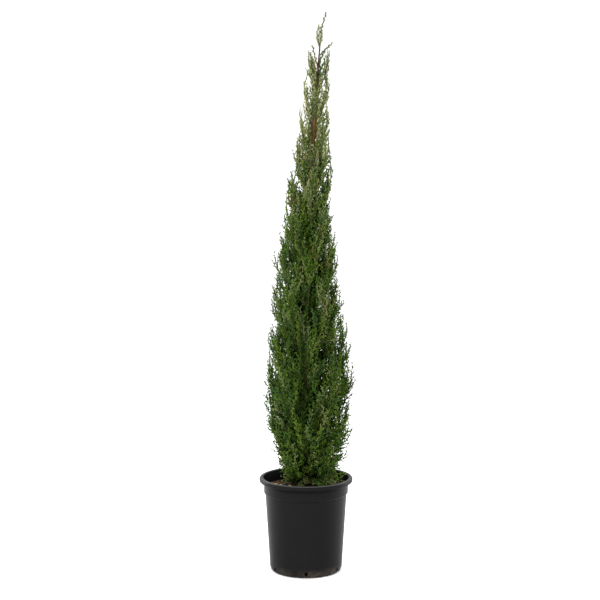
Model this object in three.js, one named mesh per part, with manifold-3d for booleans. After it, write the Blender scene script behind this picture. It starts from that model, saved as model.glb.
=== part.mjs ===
// A young Italian cypress in a plastic nursery pot: a slim column of upright plumes of foliage
// round one leaning trunk. Millimetres, +Z up, the origin at the centre of the pot's underside.
// The photographed side is seen along +Y, with +X to the right.
import * as THREE from "three";
import { mergeVertices } from "three/addons/utils/BufferGeometryUtils.js";
import Module from "manifold-3d";

const wasm = await Module();
wasm.setup();

// Driving dimensions
const CLEAR = 0.3; // the gap between solids that touch
const POT_HEIGHT = 194;
const POT_RIM_RADIUS = 95;
const POT_SEGMENTS = 32;
const LIP_WIDTH = 8;
const LIP_HEIGHT = 11;
const LIP_ROUND = 2.5;
const BAND_HEIGHT = 25; // the wider band of wall under the lip
const BAND_RADIUS = 86;
const BAND_TAPER = 0.4;
const STEP_HEIGHT = 3; // the slope from the wall out to the band
const WALL = 1.8;
const WALL_TOP_RADIUS = 82.8;
const WALL_FOOT_RADIUS = 73.4;
const FOOT_RADIUS = 66; // the flat underside
const CORNER_HEIGHT = 10;
const CORNER_ROUND = 2.5;
const FLOOR = 3;
const DRAIN_HOLES = 6;
const DRAIN_RADIUS = 2.4;
const DRAIN_STRETCH = 2; // the drain holes are upright slots round the foot's corner
const DRAIN_HEIGHT = 8;
const SOIL_EDGE_HEIGHT = 173;
const SOIL_TOP_HEIGHT = 178;
const SOIL_FLAT_RADIUS = 18; // level ground round the foot of the trunk
const SOIL_SHOULDER = [47, 175.8]; // radius and height where the mound's slope eases

const TRUNK_FOOT = SOIL_TOP_HEIGHT + CLEAR;
const TRUNK_TOP = 1058;
const TRUNK_FOOT_RADIUS = 7.6;
const TRUNK_TIP_RADIUS = 1.2;
const TRUNK_TAPER = 0.75;
const FLARE = 3.4; // how far the root flare stands out of the trunk
const FLARE_HEIGHT = 11;
const FLARE_LOBES = 5;
const LOBE_DEPTH = 0.14; // of the trunk's radius
const TRUNK_SIDES = 9;
const TRUNK_RINGS = 16;
const RING_POWER = 1.7; // rings lie closer together in the flare
const TRUNK_FOOT_X = 2;
const TRUNK_LEAN = 24.5; // how far the tip stands to the right of the foot
const LEAN_POWER = 2.8;
const TRUNK_SWAY = 5; // how far the middle bows to the back

// The crown at heights above the ground: half width out to the plume tips, and how much further
// the plumes reach on the right than on average
const CROWN_OUTLINE = [
  [180, 56, 6], [229, 70, 7], [270, 81, 6], [320, 88, 4], [370, 92, 6], [450, 85, 4], [541, 75, -4],
  [640, 63, -7], [735, 52, -7], [799, 44, -4], [862, 39, 0], [926, 31, -2], [989, 27, 0], [1052, 22, 0],
];
const LOWEST_FACE = 192; // the underside of the crown, at its outline
const CROWN_TOP_FACE = 1086; // plumes end here, and the leader's own tip takes over
const TIER_GAP = 39; // height of a tier of plumes at the outline, for no crown radius
const TIER_GAP_SHARE = 0.6; // and what each millimetre of crown radius adds
const PLUME_CLIMB = 46; // how far a plume climbs on its way out, for no crown radius
const PLUME_CLIMB_SHARE = 1.4; // and what each millimetre of crown radius adds
const LOW_PLUME_START = 186; // where the lowest plume leaves the trunk
const LOW_PLUME_SHARE = 0.3; // the lowest plumes start close together
const CLIMB_POWER = 1.35;
const OPEN_FRONT_HEIGHT = 850; // above this the trunk shows between the plumes
const OPEN_FRONT_ANGLE = 0.8;
const FRONT = -Math.PI / 2;
const PLUMES = [[27, 2], [33, 3], [60, 4], [Infinity, 5]]; // up to a crown radius, plumes in a tier
const BOUGH_TIER = 2; // the plumes of the widest tier leave on bare boughs
const BOUGH_SHARE = 0.34; // of the plume's length
const TIP_RISE = 30; // the stem of the leader's green tip, above the trunk's top
const TIP_DRIFT = 5; // and how far it bends to the right

const SEED = 11;
const CELL_MARGIN = 1; // what a plume keeps to the faces of its space
const STEM_PLACE = [0.36, 0.5]; // between the faces of its space, at its start and its end
const STEM_END = 0.86; // where a stem ends, in crown radii
const STEM_RADIUS = 2.6;
const STEM_TIP_RADIUS = 0.8;
const THIN_STEM = 0.5; // stems are thinner by this and the crown radius over the next
const THICK_CROWN = 180;
const CORE_START = 0.14; // a dense plume's core, in shares of the stem
const CORE_END = 0.98;
const CORE_WIDTH = 0.72; // in half widths of the plume's space
const CORE_DEPTH = 0.2; // in crown radii
const DENSE_RADIUS = 33; // plumes of a crown this wide are dense
const GOLDEN_ANGLE = Math.PI * (3 - Math.sqrt(5));
const SPRAY_THICKNESS = 3.4;
const SPRAY_WIDTH = 0.32; // of a spray's length
const SPRAY_LENGTH = 34; // for no crown radius
const SPRAY_LENGTH_SHARE = 0.62; // and what each millimetre of crown radius adds
const SPRAYS = 4; // on a plume of no crown radius
const SPRAYS_SHARE = 0.034; // and what each millimetre of crown radius adds
const FIRST_SPRAY = 0.26; // in shares of the stem
const LAST_SPRAY = 0.93;
const SMALLEST_SPRAY = 0.3; // of the full length
const SPRAY_STEP = 0.07;
const SPRAY_WAIST = 0.45; // where a spray is widest, and where its ridge is highest
const SPRAY_RIDGE = 0.35;
const SPREAD = [0.62, 0.26]; // a spray's angle to its stem, at the stem's start and end
const FLATNESS = 0.7; // plumes are flatter than they are wide
const TWIST = 1.4; // how far sprays turn their faces about
const TIP_REACH = [0.97, 0.1]; // the furthest that tips reach, in crown radii, and its spread

const materials = {
  plastic: new THREE.MeshStandardMaterial({ color: 0x1e1f20, roughness: 0.45, metalness: 0 }),
  soil: new THREE.MeshStandardMaterial({ color: 0x3a281a, roughness: 0.95, metalness: 0 }),
  bark: new THREE.MeshStandardMaterial({ color: 0x6b4630, roughness: 0.9, metalness: 0 }),
  foliage: new THREE.MeshStandardMaterial({ color: 0x3f5c2b, roughness: 0.65, metalness: 0 }),
};

const lerp = THREE.MathUtils.lerp;

// A number from 0 to 1 that depends only on its keys
const HASH = [12.9898, 78.233, 37.719, 43758.5453];
function chance(plume, shoot, purpose) {
  const mixed = Math.sin(plume * HASH[0] + shoot * HASH[1] + purpose * HASH[2] + SEED) * HASH[3];
  return mixed - Math.floor(mixed);
}

// Closed meshes as solids, and back

function solidOf(geometry) {
  const bare = geometry.clone();
  bare.deleteAttribute("normal");
  bare.deleteAttribute("uv");
  const merged = mergeVertices(bare, 1e-4);
  const mesh = new wasm.Mesh({
    numProp: 3,
    vertProperties: new Float32Array(merged.attributes.position.array),
    triVerts: new Uint32Array(merged.index.array),
  });
  return new wasm.Manifold(mesh);
}

function geometryOf(solid) {
  const mesh = solid.getMesh();
  const positions = new Float32Array(mesh.numVert * 3);
  for (let i = 0; i < mesh.numVert; i++) {
    positions.set(mesh.vertProperties.subarray(i * mesh.numProp, i * mesh.numProp + 3), i * 3);
  }
  const geometry = new THREE.BufferGeometry();
  geometry.setAttribute("position", new THREE.BufferAttribute(positions, 3));
  geometry.setIndex(new THREE.BufferAttribute(new Uint32Array(mesh.triVerts), 1));
  const split = geometry.toNonIndexed();
  split.computeVertexNormals();
  return split;
}

// The largest connected piece, without loose scraps and with any sealed hollow filled
function largestPiece(solid) {
  return solid.decompose().reduce((a, b) => (b.volume() > a.volume() ? b : a));
}

// A limb along a path, whose width lies along side and depth across it
function limb(pathPoint, sizeAt, side, sides, segments) {
  const geometry = new THREE.CylinderGeometry(1, 1, 1, sides, segments);
  const position = geometry.attributes.position;
  const step = 1e-3;
  const points = [];
  for (let i = 0; i < position.count; i++) {
    const share = position.getY(i) + 0.5;
    const along = pathPoint(Math.min(share + step, 1)).sub(pathPoint(Math.max(share - step, 0)));
    const depth = side.clone().cross(along).normalize();
    const width = along.clone().cross(depth).normalize();
    const size = sizeAt(share);
    const point = pathPoint(share);
    point.addScaledVector(width, size.width * position.getX(i));
    point.addScaledVector(depth, size.depth * position.getZ(i));
    position.setXYZ(i, point.x, point.y, point.z);
    points.push(point);
  }
  return { solid: solidOf(geometry), points };
}

// The pot

function lathe(profile) {
  const points = profile.map(([radius, height]) => new THREE.Vector2(radius, height));
  return solidOf(new THREE.LatheGeometry(points, POT_SEGMENTS).rotateX(Math.PI / 2));
}

const lipFoot = POT_HEIGHT - LIP_HEIGHT;
const wallTop = lipFoot - BAND_HEIGHT;
const stepTop = wallTop + STEP_HEIGHT;
const stepRadius = BAND_RADIUS - BAND_TAPER;
const innerFoot = FOOT_RADIUS + FLOOR;

function makePot() {
  const lipInner = POT_RIM_RADIUS - LIP_WIDTH;
  let pot = lathe([
    [0, 0],
    [FOOT_RADIUS, 0],
    [FOOT_RADIUS + 2 * CORNER_ROUND, CORNER_ROUND],
    [WALL_FOOT_RADIUS, CORNER_HEIGHT],
    [WALL_TOP_RADIUS, wallTop],
    [stepRadius, stepTop],
    [BAND_RADIUS, lipFoot],
    [POT_RIM_RADIUS - 1, lipFoot],
    [POT_RIM_RADIUS, lipFoot + LIP_ROUND],
    [POT_RIM_RADIUS, POT_HEIGHT - LIP_ROUND],
    [POT_RIM_RADIUS - LIP_ROUND, POT_HEIGHT],
    [lipInner + 1, POT_HEIGHT],
    [lipInner, POT_HEIGHT - LIP_ROUND],
    [BAND_RADIUS - WALL, lipFoot],
    [stepRadius - WALL, stepTop],
    [WALL_TOP_RADIUS - WALL, wallTop],
    [WALL_FOOT_RADIUS - WALL, CORNER_HEIGHT],
    [innerFoot, FLOOR],
    [0, FLOOR],
  ]);
  const cutLength = 4 * CORNER_HEIGHT;
  for (let i = 0; i < DRAIN_HOLES; i++) {
    const hole = new THREE.CylinderGeometry(DRAIN_RADIUS, DRAIN_RADIUS, cutLength, 8);
    hole.scale(1, 1, DRAIN_STRETCH);
    hole.translate(0, -WALL_FOOT_RADIUS, DRAIN_HEIGHT);
    hole.rotateZ((i * 2 * Math.PI) / DRAIN_HOLES);
    pot = pot.subtract(solidOf(hole));
  }
  return pot;
}

function makeSoil() {
  const inset = WALL + CLEAR;
  return lathe([
    [0, FLOOR + CLEAR],
    [innerFoot - CLEAR, FLOOR + CLEAR],
    [WALL_FOOT_RADIUS - inset, CORNER_HEIGHT],
    [WALL_TOP_RADIUS - inset, wallTop],
    [stepRadius - inset, stepTop],
    [stepRadius - inset, SOIL_EDGE_HEIGHT],
    SOIL_SHOULDER,
    [SOIL_FLAT_RADIUS, SOIL_TOP_HEIGHT],
    [0, SOIL_TOP_HEIGHT],
  ]);
}

// The trunk

function trunkShare(height) {
  return THREE.MathUtils.clamp((height - TRUNK_FOOT) / (TRUNK_TOP - TRUNK_FOOT), 0, 1);
}

function trunkCentre(height) {
  const share = trunkShare(height);
  return new THREE.Vector3(
    TRUNK_FOOT_X + TRUNK_LEAN * share ** LEAN_POWER,
    TRUNK_SWAY * Math.sin(Math.PI * share),
    height,
  );
}

// The flare dies away above the foot
function flareShare(height) {
  return Math.exp(-(height - TRUNK_FOOT) / FLARE_HEIGHT);
}

function trunkRadius(height) {
  const taper = (1 - trunkShare(height)) ** TRUNK_TAPER;
  return lerp(TRUNK_TIP_RADIUS, TRUNK_FOOT_RADIUS, taper) + FLARE * flareShare(height);
}

// The trunk, or with extra the space that others keep out of
function makeTrunk(extra) {
  const geometry = new THREE.CylinderGeometry(1, 1, 1, TRUNK_SIDES, TRUNK_RINGS);
  const position = geometry.attributes.position;
  for (let i = 0; i < position.count; i++) {
    const share = position.getY(i) + 0.5;
    const height = lerp(TRUNK_FOOT, TRUNK_TOP, share ** RING_POWER);
    const centre = trunkCentre(height);
    const turn = Math.atan2(position.getZ(i), position.getX(i));
    const onAxis = Math.hypot(position.getX(i), position.getZ(i)) < 0.5;
    const lobes = 1 + LOBE_DEPTH * Math.cos(FLARE_LOBES * turn) * flareShare(height);
    const radius = onAxis ? 0 : trunkRadius(height) * lobes + extra;
    const x = centre.x + radius * Math.cos(turn);
    const y = centre.y - radius * Math.sin(turn);
    position.setXYZ(i, x, y, height + extra * Math.sign(share - 0.5));
  }
  return solidOf(geometry);
}

// The crown's space, shared out among the plumes

function crownStation(height, column) {
  const stations = CROWN_OUTLINE;
  if (height <= stations[0][0]) return stations[0][column];
  for (let i = 1; i < stations.length; i++) {
    const [low, high] = [stations[i - 1], stations[i]];
    if (height <= high[0]) {
      return lerp(low[column], high[column], (height - low[0]) / (high[0] - low[0]));
    }
  }
  return stations[stations.length - 1][column];
}

function crownRadius(height) {
  return crownStation(height, 1);
}

// The outline's distance from the trunk, on one side of it
function crownReach(height, bearing) {
  return crownRadius(height) + crownStation(height, 2) * Math.cos(bearing);
}

// Heights at the outline where one tier of plumes ends and the next begins
function tierFaces() {
  const faces = [LOWEST_FACE];
  while (faces[faces.length - 1] < CROWN_TOP_FACE - TIER_GAP) {
    const height = faces[faces.length - 1];
    faces.push(height + TIER_GAP + TIER_GAP_SHARE * crownRadius(height));
  }
  faces[faces.length - 1] = CROWN_TOP_FACE;
  return faces;
}

// Where the face that meets the outline at that height meets the trunk
function startOf(outlineHeight) {
  const low = LOW_PLUME_START + LOW_PLUME_SHARE * (outlineHeight - LOWEST_FACE);
  const climb = PLUME_CLIMB + PLUME_CLIMB_SHARE * crownRadius(outlineHeight);
  return Math.max(low, outlineHeight - climb);
}

const faces = tierFaces();

// The height of a tier's lower face at a share of the crown's radius
function faceHeight(tier, reach) {
  const start = startOf(faces[tier]);
  return start + (faces[tier] - start) * reach ** CLIMB_POWER;
}

// A tier has more plumes the wider the crown is there
function plumeCount(radius) {
  return PLUMES.find(([widest]) => radius < widest)[1];
}

function turnBetween(a, b) {
  return Math.abs(Math.atan2(Math.sin(a - b), Math.cos(a - b)));
}

// Every plume's tier, bearing and half angle
function layOutPlumes() {
  const plumes = [];
  for (let tier = 0; tier + 1 < faces.length; tier++) {
    const height = (faces[tier] + faces[tier + 1]) / 2;
    const radius = crownRadius(height);
    const count = plumeCount(radius);
    const open = height > OPEN_FRONT_HEIGHT ? OPEN_FRONT_ANGLE : 0;
    const width = (2 * Math.PI - open) / count;
    const first = FRONT + open / 2 + (open ? 0 : (tier % 2) * 0.5 * width);
    for (let i = 0; i < count; i++) {
      plumes.push({
        name: `plume_${String(tier + 1).padStart(2, "0")}_${i + 1}`,
        number: plumes.length,
        tier,
        radius,
        bearing: first + width * (i + 0.5),
        halfAngle: width / 2,
        start: tier === BOUGH_TIER ? BOUGH_SHARE : 0,
      });
    }
  }
  plumes.push({
    name: "leader_tip",
    number: plumes.length,
    tier: faces.length - 1,
    radius: crownRadius(CROWN_TOP_FACE),
    bearing: 0,
    halfAngle: 2 * Math.PI,
    start: 0,
  });
  return plumes;
}

function isTip(plume) {
  return plume.tier === faces.length - 1;
}

function insidePlume(plume, point, furthest) {
  if (isTip(plume)) return point.z > TRUNK_TOP + CELL_MARGIN;
  const centre = trunkCentre(point.z);
  const dx = point.x - centre.x;
  const dy = point.y - centre.y;
  const distance = Math.hypot(dx, dy);
  const bearing = Math.atan2(dy, dx);
  const reach = distance / crownReach(point.z, bearing);
  const slope = 2 * CELL_MARGIN;
  if (reach > furthest || distance < trunkRadius(point.z) + CLEAR + CELL_MARGIN) return false;
  if (point.z < faceHeight(plume.tier, reach) + slope) return false;
  if (point.z > faceHeight(plume.tier + 1, reach) - slope) return false;
  const slack = Math.asin(Math.min(1, CELL_MARGIN / distance));
  return turnBetween(bearing, plume.bearing) < plume.halfAngle - slack;
}

// A plume's stem leaves the trunk and bends up through the middle of its space
function stemPoint(plume, share) {
  if (isTip(plume)) {
    const point = trunkCentre(TRUNK_TOP);
    point.x += TIP_DRIFT * share ** 2;
    point.z += CLEAR + (TIP_RISE - CLEAR) * share;
    return point;
  }
  const reach = STEM_END * share;
  const low = faceHeight(plume.tier, reach);
  const high = faceHeight(plume.tier + 1, reach);
  const height = lerp(low, high, lerp(...STEM_PLACE, share));
  const centre = trunkCentre(height);
  const out = reach * crownReach(height, plume.bearing);
  centre.x += out * Math.cos(plume.bearing);
  centre.y += out * Math.sin(plume.bearing);
  return centre;
}

function tangentOf(plume) {
  return new THREE.Vector3(-Math.sin(plume.bearing), Math.cos(plume.bearing), 0);
}

// A spray of scale leaves: a slender blade, widest below its middle, with a ridge on either face
function sprayBlade(root, along, face, length, width) {
  const across = along.clone().cross(face).normalize();
  const normal = across.clone().cross(along).normalize();
  const waist = SPRAY_WAIST * length;
  const ridge = SPRAY_RIDGE * length;
  const point = (x, y, lift) =>
    root.clone().addScaledVector(across, x).addScaledVector(along, y).addScaledVector(normal, lift);
  const points = [
    point(0, 0, 0),
    point(width / 2, waist, 0),
    point(0, length, 0),
    point(-width / 2, waist, 0),
    point(0, ridge, SPRAY_THICKNESS / 2),
    point(0, ridge, -SPRAY_THICKNESS / 2),
  ];
  const index = [];
  for (let i = 0; i < 4; i++) {
    const next = (i + 1) % 4;
    index.push(i, next, 4, next, i, 5);
  }
  const geometry = new THREE.BufferGeometry().setFromPoints(points).setIndex(index);
  return { solid: solidOf(geometry), points };
}

function stemDirection(plume, share) {
  const step = 0.02;
  const before = stemPoint(plume, Math.max(share - step, 0));
  return stemPoint(plume, Math.min(share + step, 1)).sub(before).normalize();
}

// Sprays leave the stem all round it, most of all to its sides, and closer to it near the tip
function sprayDirection(plume, shoot, share) {
  const along = stemDirection(plume, share);
  const side = tangentOf(plume);
  const top = along.clone().cross(side).normalize();
  const turn = shoot * GOLDEN_ANGLE + 2 * Math.PI * chance(plume.number, 0, 1);
  const spread = lerp(...SPREAD, share) * (0.8 + 0.4 * chance(plume.number, shoot, 2));
  return along
    .multiplyScalar(Math.cos(spread))
    .addScaledVector(side, Math.sin(spread) * Math.cos(turn))
    .addScaledVector(top, FLATNESS * Math.sin(spread) * Math.sin(turn))
    .normalize();
}

// The largest spray that stays in the plume's space, or none
function growSpray(plume, share, along, shoot) {
  const root = stemPoint(plume, share);
  const turn = plume.bearing + TWIST * (chance(plume.number, shoot, 3) - 0.5);
  const face = new THREE.Vector3(Math.cos(turn), Math.sin(turn), 0);
  const furthest = TIP_REACH[0] + TIP_REACH[1] * chance(plume.number, shoot, 4);
  const full = SPRAY_LENGTH + SPRAY_LENGTH_SHARE * plume.radius;
  for (let size = 1; size > SMALLEST_SPRAY; size -= SPRAY_STEP) {
    const width = full * SPRAY_WIDTH * lerp(0.5, 1, size);
    const blade = sprayBlade(root, along, face, full * size, width);
    const free = blade.points.slice(1);
    if (free.every((point) => insidePlume(plume, point, furthest))) return blade.solid;
  }
  return null;
}

// The smaller core that a dense plume's sprays stand out of
function growCore(plume) {
  const start = Math.max(CORE_START, plume.start + 0.05);
  const path = (share) => stemPoint(plume, lerp(start, CORE_END, share));
  const spindle = (share) => Math.sin(Math.PI * lerp(0.08, 0.92, share ** 0.8));
  const halfWidth = CORE_WIDTH * plume.radius * STEM_END * Math.sin(plume.halfAngle);
  const halfDepth = CORE_DEPTH * plume.radius;
  for (let size = 1; size > SMALLEST_SPRAY; size -= SPRAY_STEP) {
    const sizeAt = (share) => ({
      width: size * halfWidth * spindle(share) * lerp(0.4, 1, share),
      depth: size * halfDepth * spindle(share),
    });
    const core = limb(path, sizeAt, tangentOf(plume), 5, 3);
    if (core.points.every((point) => insidePlume(plume, point, 1))) return core.solid;
  }
  return null;
}

function stemSize(plume, share) {
  const thickness = THIN_STEM + plume.radius / THICK_CROWN;
  const radius = lerp(STEM_RADIUS, STEM_TIP_RADIUS, share) * thickness;
  return { width: radius, depth: radius };
}

// A round limb along a stretch of the plume's stem
function stemLimb(plume, start, end, sides) {
  const shareAt = (share) => lerp(start, end, share);
  const path = (share) => stemPoint(plume, shareAt(share));
  return limb(path, (share) => stemSize(plume, shareAt(share)), tangentOf(plume), sides, 3).solid;
}

function makePlume(plume, trunkSpace) {
  const count = Math.round(SPRAYS + SPRAYS_SHARE * plume.radius);
  const first = Math.max(FIRST_SPRAY, plume.start + 0.06);
  const parts = [];
  if (plume.radius > DENSE_RADIUS) parts.push(growCore(plume));
  for (let shoot = 0; shoot < count; shoot++) {
    const share = lerp(first, LAST_SPRAY, (shoot + 0.3) / count);
    parts.push(growSpray(plume, share, sprayDirection(plume, shoot, share), shoot));
  }
  parts.push(growSpray(plume, LAST_SPRAY, stemDirection(plume, 1), count));
  let solid = stemLimb(plume, plume.start, 1, 3);
  for (const part of parts) {
    if (part) solid = solid.add(part);
  }
  return largestPiece(solid.subtract(trunkSpace));
}

// A bare bough carries a plume of the widest tier
function makeBough(plume, trunkSpace) {
  const length = stemPoint(plume, plume.start).distanceTo(stemPoint(plume, 0));
  const end = plume.start * (1 - CLEAR / length);
  return largestPiece(stemLimb(plume, 0, end, 6).subtract(trunkSpace));
}

// Assembly

const cypress = new THREE.Group();
cypress.name = "italian_cypress";

function addNode(name, solid, material) {
  const mesh = new THREE.Mesh(geometryOf(solid), material);
  mesh.name = name;
  cypress.add(mesh);
}

addNode("pot", makePot(), materials.plastic);
addNode("soil", makeSoil(), materials.soil);
addNode("trunk", makeTrunk(0), materials.bark);
const trunkSpace = makeTrunk(CLEAR);
for (const plume of layOutPlumes()) {
  if (plume.start > 0) {
    addNode(plume.name.replace("plume", "bough"), makeBough(plume, trunkSpace), materials.bark);
  }
  addNode(plume.name, makePlume(plume, trunkSpace), materials.foliage);
}

export default cypress;
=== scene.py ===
import math
from dataclasses import dataclass
from enum import IntEnum

import bpy
import numpy as np
from bpy.props import FloatProperty, FloatVectorProperty, IntProperty, PointerProperty
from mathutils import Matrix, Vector, noise


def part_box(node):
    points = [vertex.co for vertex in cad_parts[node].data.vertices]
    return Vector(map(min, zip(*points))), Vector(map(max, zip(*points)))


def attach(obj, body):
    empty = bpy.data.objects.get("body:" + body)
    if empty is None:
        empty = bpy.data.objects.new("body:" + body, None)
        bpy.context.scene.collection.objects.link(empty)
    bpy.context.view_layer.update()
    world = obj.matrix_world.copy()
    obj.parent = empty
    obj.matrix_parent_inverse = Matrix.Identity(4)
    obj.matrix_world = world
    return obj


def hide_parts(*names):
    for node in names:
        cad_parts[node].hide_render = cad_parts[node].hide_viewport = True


bl_info = {
    "name": "Potted Italian Cypress",
    "version": (1, 0, 0),
    "blender": (4, 5, 0),
    "location": "View3D > Sidebar > Cypress",
    "description": "Dresses the packed cypress with its bark, twigs, scale leaves, pot and soil",
    "category": "Object",
}

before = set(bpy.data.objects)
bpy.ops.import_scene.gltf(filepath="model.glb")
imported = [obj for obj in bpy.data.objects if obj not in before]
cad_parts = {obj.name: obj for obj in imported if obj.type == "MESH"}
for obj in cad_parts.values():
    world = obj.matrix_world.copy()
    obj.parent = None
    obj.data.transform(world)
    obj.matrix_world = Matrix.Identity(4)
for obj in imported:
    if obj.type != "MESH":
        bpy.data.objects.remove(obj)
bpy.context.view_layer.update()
BODY = "root"

# The frame's own sizes, in metres
POT_RIM_RADIUS, _, POT_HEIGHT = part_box("pot")[1]
SOIL_FOOT, SOIL_TOP = (corner.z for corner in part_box("soil"))
TRUNK_FOOT, TRUNK_TOP = (corner.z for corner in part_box("trunk"))
PLUME_NODES = sorted(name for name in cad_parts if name.startswith(("plume", "leader")))

MM = 0.001
FULL_TURN = 2 * math.pi
FRONT = -math.pi / 2
UP = np.array([0, 0, 1])


# Small tools

def lerp(a, b, share):
    return a + (b - a) * share


def unit(vectors):
    return vectors / np.linalg.norm(vectors, axis=-1, keepdims=True)


def turns(count):
    """Even turns all round."""
    return np.arange(count) * FULL_TURN / count


def outward_at(bearings):
    """Level directions."""
    return np.stack([np.cos(bearings), np.sin(bearings), 0 * bearings], axis=-1)


def swung(first, second, angles, flatness=1):
    """Directions turned from first towards second. Flat ones keep closer to first."""
    return np.cos(angles)[..., None] * first + flatness * np.sin(angles)[..., None] * second


def around(axis, turn, faces, flatness=1):
    """Directions square to axis, turned about it from one that is square to faces too."""
    side = unit(np.cross(axis, faces))
    return swung(side, np.cross(side, axis), turn, flatness)


def turn_between(bearing, other):
    """The turn from one bearing to another, from minus half a turn to half a turn."""
    return np.angle(np.exp(1j * (bearing - other)))


def pairs(count, steps):
    """Every pair of a number below count and a number below steps."""
    return np.repeat(np.arange(count), steps), np.tile(np.arange(steps), count)


def kept(mask, *columns):
    return [column[mask] for column in columns]


def srgb(red, green, blue):
    """A display colour, from 0 to 255, as the linear colour that shaders take."""
    channels = (value / 255 for value in (red, green, blue))
    return tuple(((value + 0.055) / 1.055) ** 2.4 for value in channels)


# Shader maths

class Value:
    """A shader socket. Arithmetic on it adds Math nodes."""

    def __init__(self, finish, socket):
        self.finish = finish
        self.socket = socket

    def __add__(self, other):
        return self.finish.node("ShaderNodeMath", {"operation": "ADD"}, {0: self, 1: other})

    def __mul__(self, other):
        return self.finish.node("ShaderNodeMath", {"operation": "MULTIPLY"}, {0: self, 1: other})

    __radd__ = __add__
    __rmul__ = __mul__


class Finish:
    """A material on one Principled shader."""

    def __init__(self, name, **constants):
        self.material = bpy.data.materials.new(name)
        self.material.use_nodes = True
        self.nodes = self.material.node_tree.nodes
        self.feed(**constants)

    def join(self, socket, value):
        if isinstance(value, Value):
            self.material.node_tree.links.new(value.socket, socket)
        else:
            socket.default_value = value

    def feed(self, **values):
        """Gives sockets of the shader their constants or links."""
        for name, value in values.items():
            self.join(self.nodes["Principled BSDF"].inputs[name.replace("_", " ")], value)

    def node(self, kind, settings, inputs, output=0):
        """A node of any kind. Its settings are set first, then the values or links of its sockets."""
        node = self.nodes.new(kind)
        for name, value in settings.items():
            setattr(node, name, value)
        for socket, value in inputs.items():
            self.join(node.inputs[socket], value)
        return Value(self, node.outputs[output])

    def place(self):
        """Where a point is on the plant, in metres."""
        return self.node("ShaderNodeTexCoord", {}, {}, output="Object")

    def height(self, place):
        return self.node("ShaderNodeSeparateXYZ", {}, {0: place}, output="Z")

    def stretched(self, place, scale):
        return self.node("ShaderNodeMapping", {}, {"Vector": place, "Scale": scale})

    def noise(self, place, scale, detail=3.0, roughness=0.55):
        inputs = {"Vector": place, "Scale": scale, "Detail": detail, "Roughness": roughness}
        return self.node("ShaderNodeTexNoise", {}, inputs)

    def span(self, value, low, high, to_low=0.0, to_high=1.0):
        """value from low to high as a number from to_low to to_high, smoothly and no further."""
        settings = {"interpolation_type": "SMOOTHSTEP"}
        return self.node("ShaderNodeMapRange", settings, {0: value, 1: low, 2: high, 3: to_low, 4: to_high})

    def mix(self, share, first, second):
        """A colour between two, which are colours or links."""
        shades = [value if isinstance(value, Value) else (*value, 1) for value in (first, second)]
        inputs = {0: share, 6: shades[0], 7: shades[1]}
        return self.node("ShaderNodeMix", {"data_type": "RGBA"}, inputs, output=2)

    def bump(self, height, depth, strength=1.0):
        return self.node("ShaderNodeBump", {}, {"Strength": strength, "Distance": depth, "Height": height})


def plain_finish(name, colour, roughness, gloss=0.5):
    finish = Finish(name, Base_Color=(*colour, 1), Roughness=roughness, Specular_IOR_Level=gloss)
    return finish.material


# Meshes

def stage_object(name, data):
    thing = bpy.data.objects.new(name, data)
    bpy.context.scene.collection.objects.link(thing)
    return thing


def plain_mesh(name, points, faces):
    mesh = bpy.data.meshes.new(name)
    mesh.from_pydata(points, [], faces)
    return mesh


def add_piece(name, points, faces, materials, nodes=(), finishes=None):
    """A smooth mesh in place, riding on the plant's body. finishes gives each face's material."""
    mesh = plain_mesh(name, points, faces)
    for material in materials:
        mesh.materials.append(material)
    if finishes is not None:
        mesh.polygons.foreach_set("material_index", np.asarray(finishes, dtype=np.int32))
    mesh.shade_smooth()
    mesh.validate()
    piece = stage_object(name, mesh)
    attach(piece, BODY)
    if nodes:
        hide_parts(*nodes)
    return piece


def crease(piece, degrees):
    """Shades a piece smooth, but for the edges that are sharper than an angle."""
    piece.data.shade_smooth()
    piece.data.set_sharp_from_angle(angle=math.radians(degrees))


def rounded(corners, steps=5):
    """An outline through corners (radius, height, rounding), with an arc where there is a rounding."""
    places = [np.array(corner[:2]) for corner in corners]
    outline = []
    for i, (*_, rounding) in enumerate(corners):
        if not rounding:
            outline.append(places[i])
            continue
        before, after = (unit(places[j] - places[i]) for j in (i - 1, i + 1))
        half = math.acos(np.clip(before @ after, -1, 1)) / 2
        centre = places[i] + unit(before + after) * rounding / math.sin(half)
        first, last = (places[i] + way * rounding / math.tan(half) - centre for way in (before, after))
        outline += [centre + unit(lerp(first, last, step / steps)) * rounding for step in range(steps + 1)]
    return outline


def neighbours(count):
    """Each number below count with the next one, and the last with the first."""
    return [(i, (i + 1) % count) for i in range(count)]


def band_faces(low, count):
    """The faces between a ring of points, which starts at low, and the next ring."""
    return [(low + i, low + j, low + count + j, low + count + i) for i, j in neighbours(count)]


def stacked_faces(start, rings, count):
    """The faces of rings of points one beyond another, with a cap at each end."""
    last = start + (rings - 1) * count
    faces = [tuple(start + i for i in reversed(range(count))), tuple(last + i for i in range(count))]
    for low in range(start, last, count):
        faces += band_faces(low, count)
    return faces


def revolve(outline, segments):
    """A solid turned round the Z axis from an outline whose two ends lie on the axis."""
    rings = [radius * outward_at(turns(segments)) + height * UP for radius, height in outline]
    points = np.concatenate([rings[0][:1], *rings[1:-1], rings[-1][:1]])
    top = len(points) - 1
    last = top - segments
    faces = [(0, 1 + j, 1 + i) for i, j in neighbours(segments)]
    faces += [(last + i, last + j, top) for i, j in neighbours(segments)]
    for low in range(1, last, segments):
        faces += band_faces(low, segments)
    return points, faces


def cord_faces(rings, sides):
    """The triangles of one cord: its foot, the sides between its rings, and its tip."""
    faces = [(0, side + 1, side) for side in range(1, sides - 1)]
    last = (rings - 1) * sides
    for low in range(0, last, sides):
        for a, b, c, d in band_faces(low, sides):
            faces += [(a, b, c), (a, c, d)]
    faces += [(last + i, last + j, last + sides) for i, j in neighbours(sides)]
    return np.array(faces)


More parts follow.
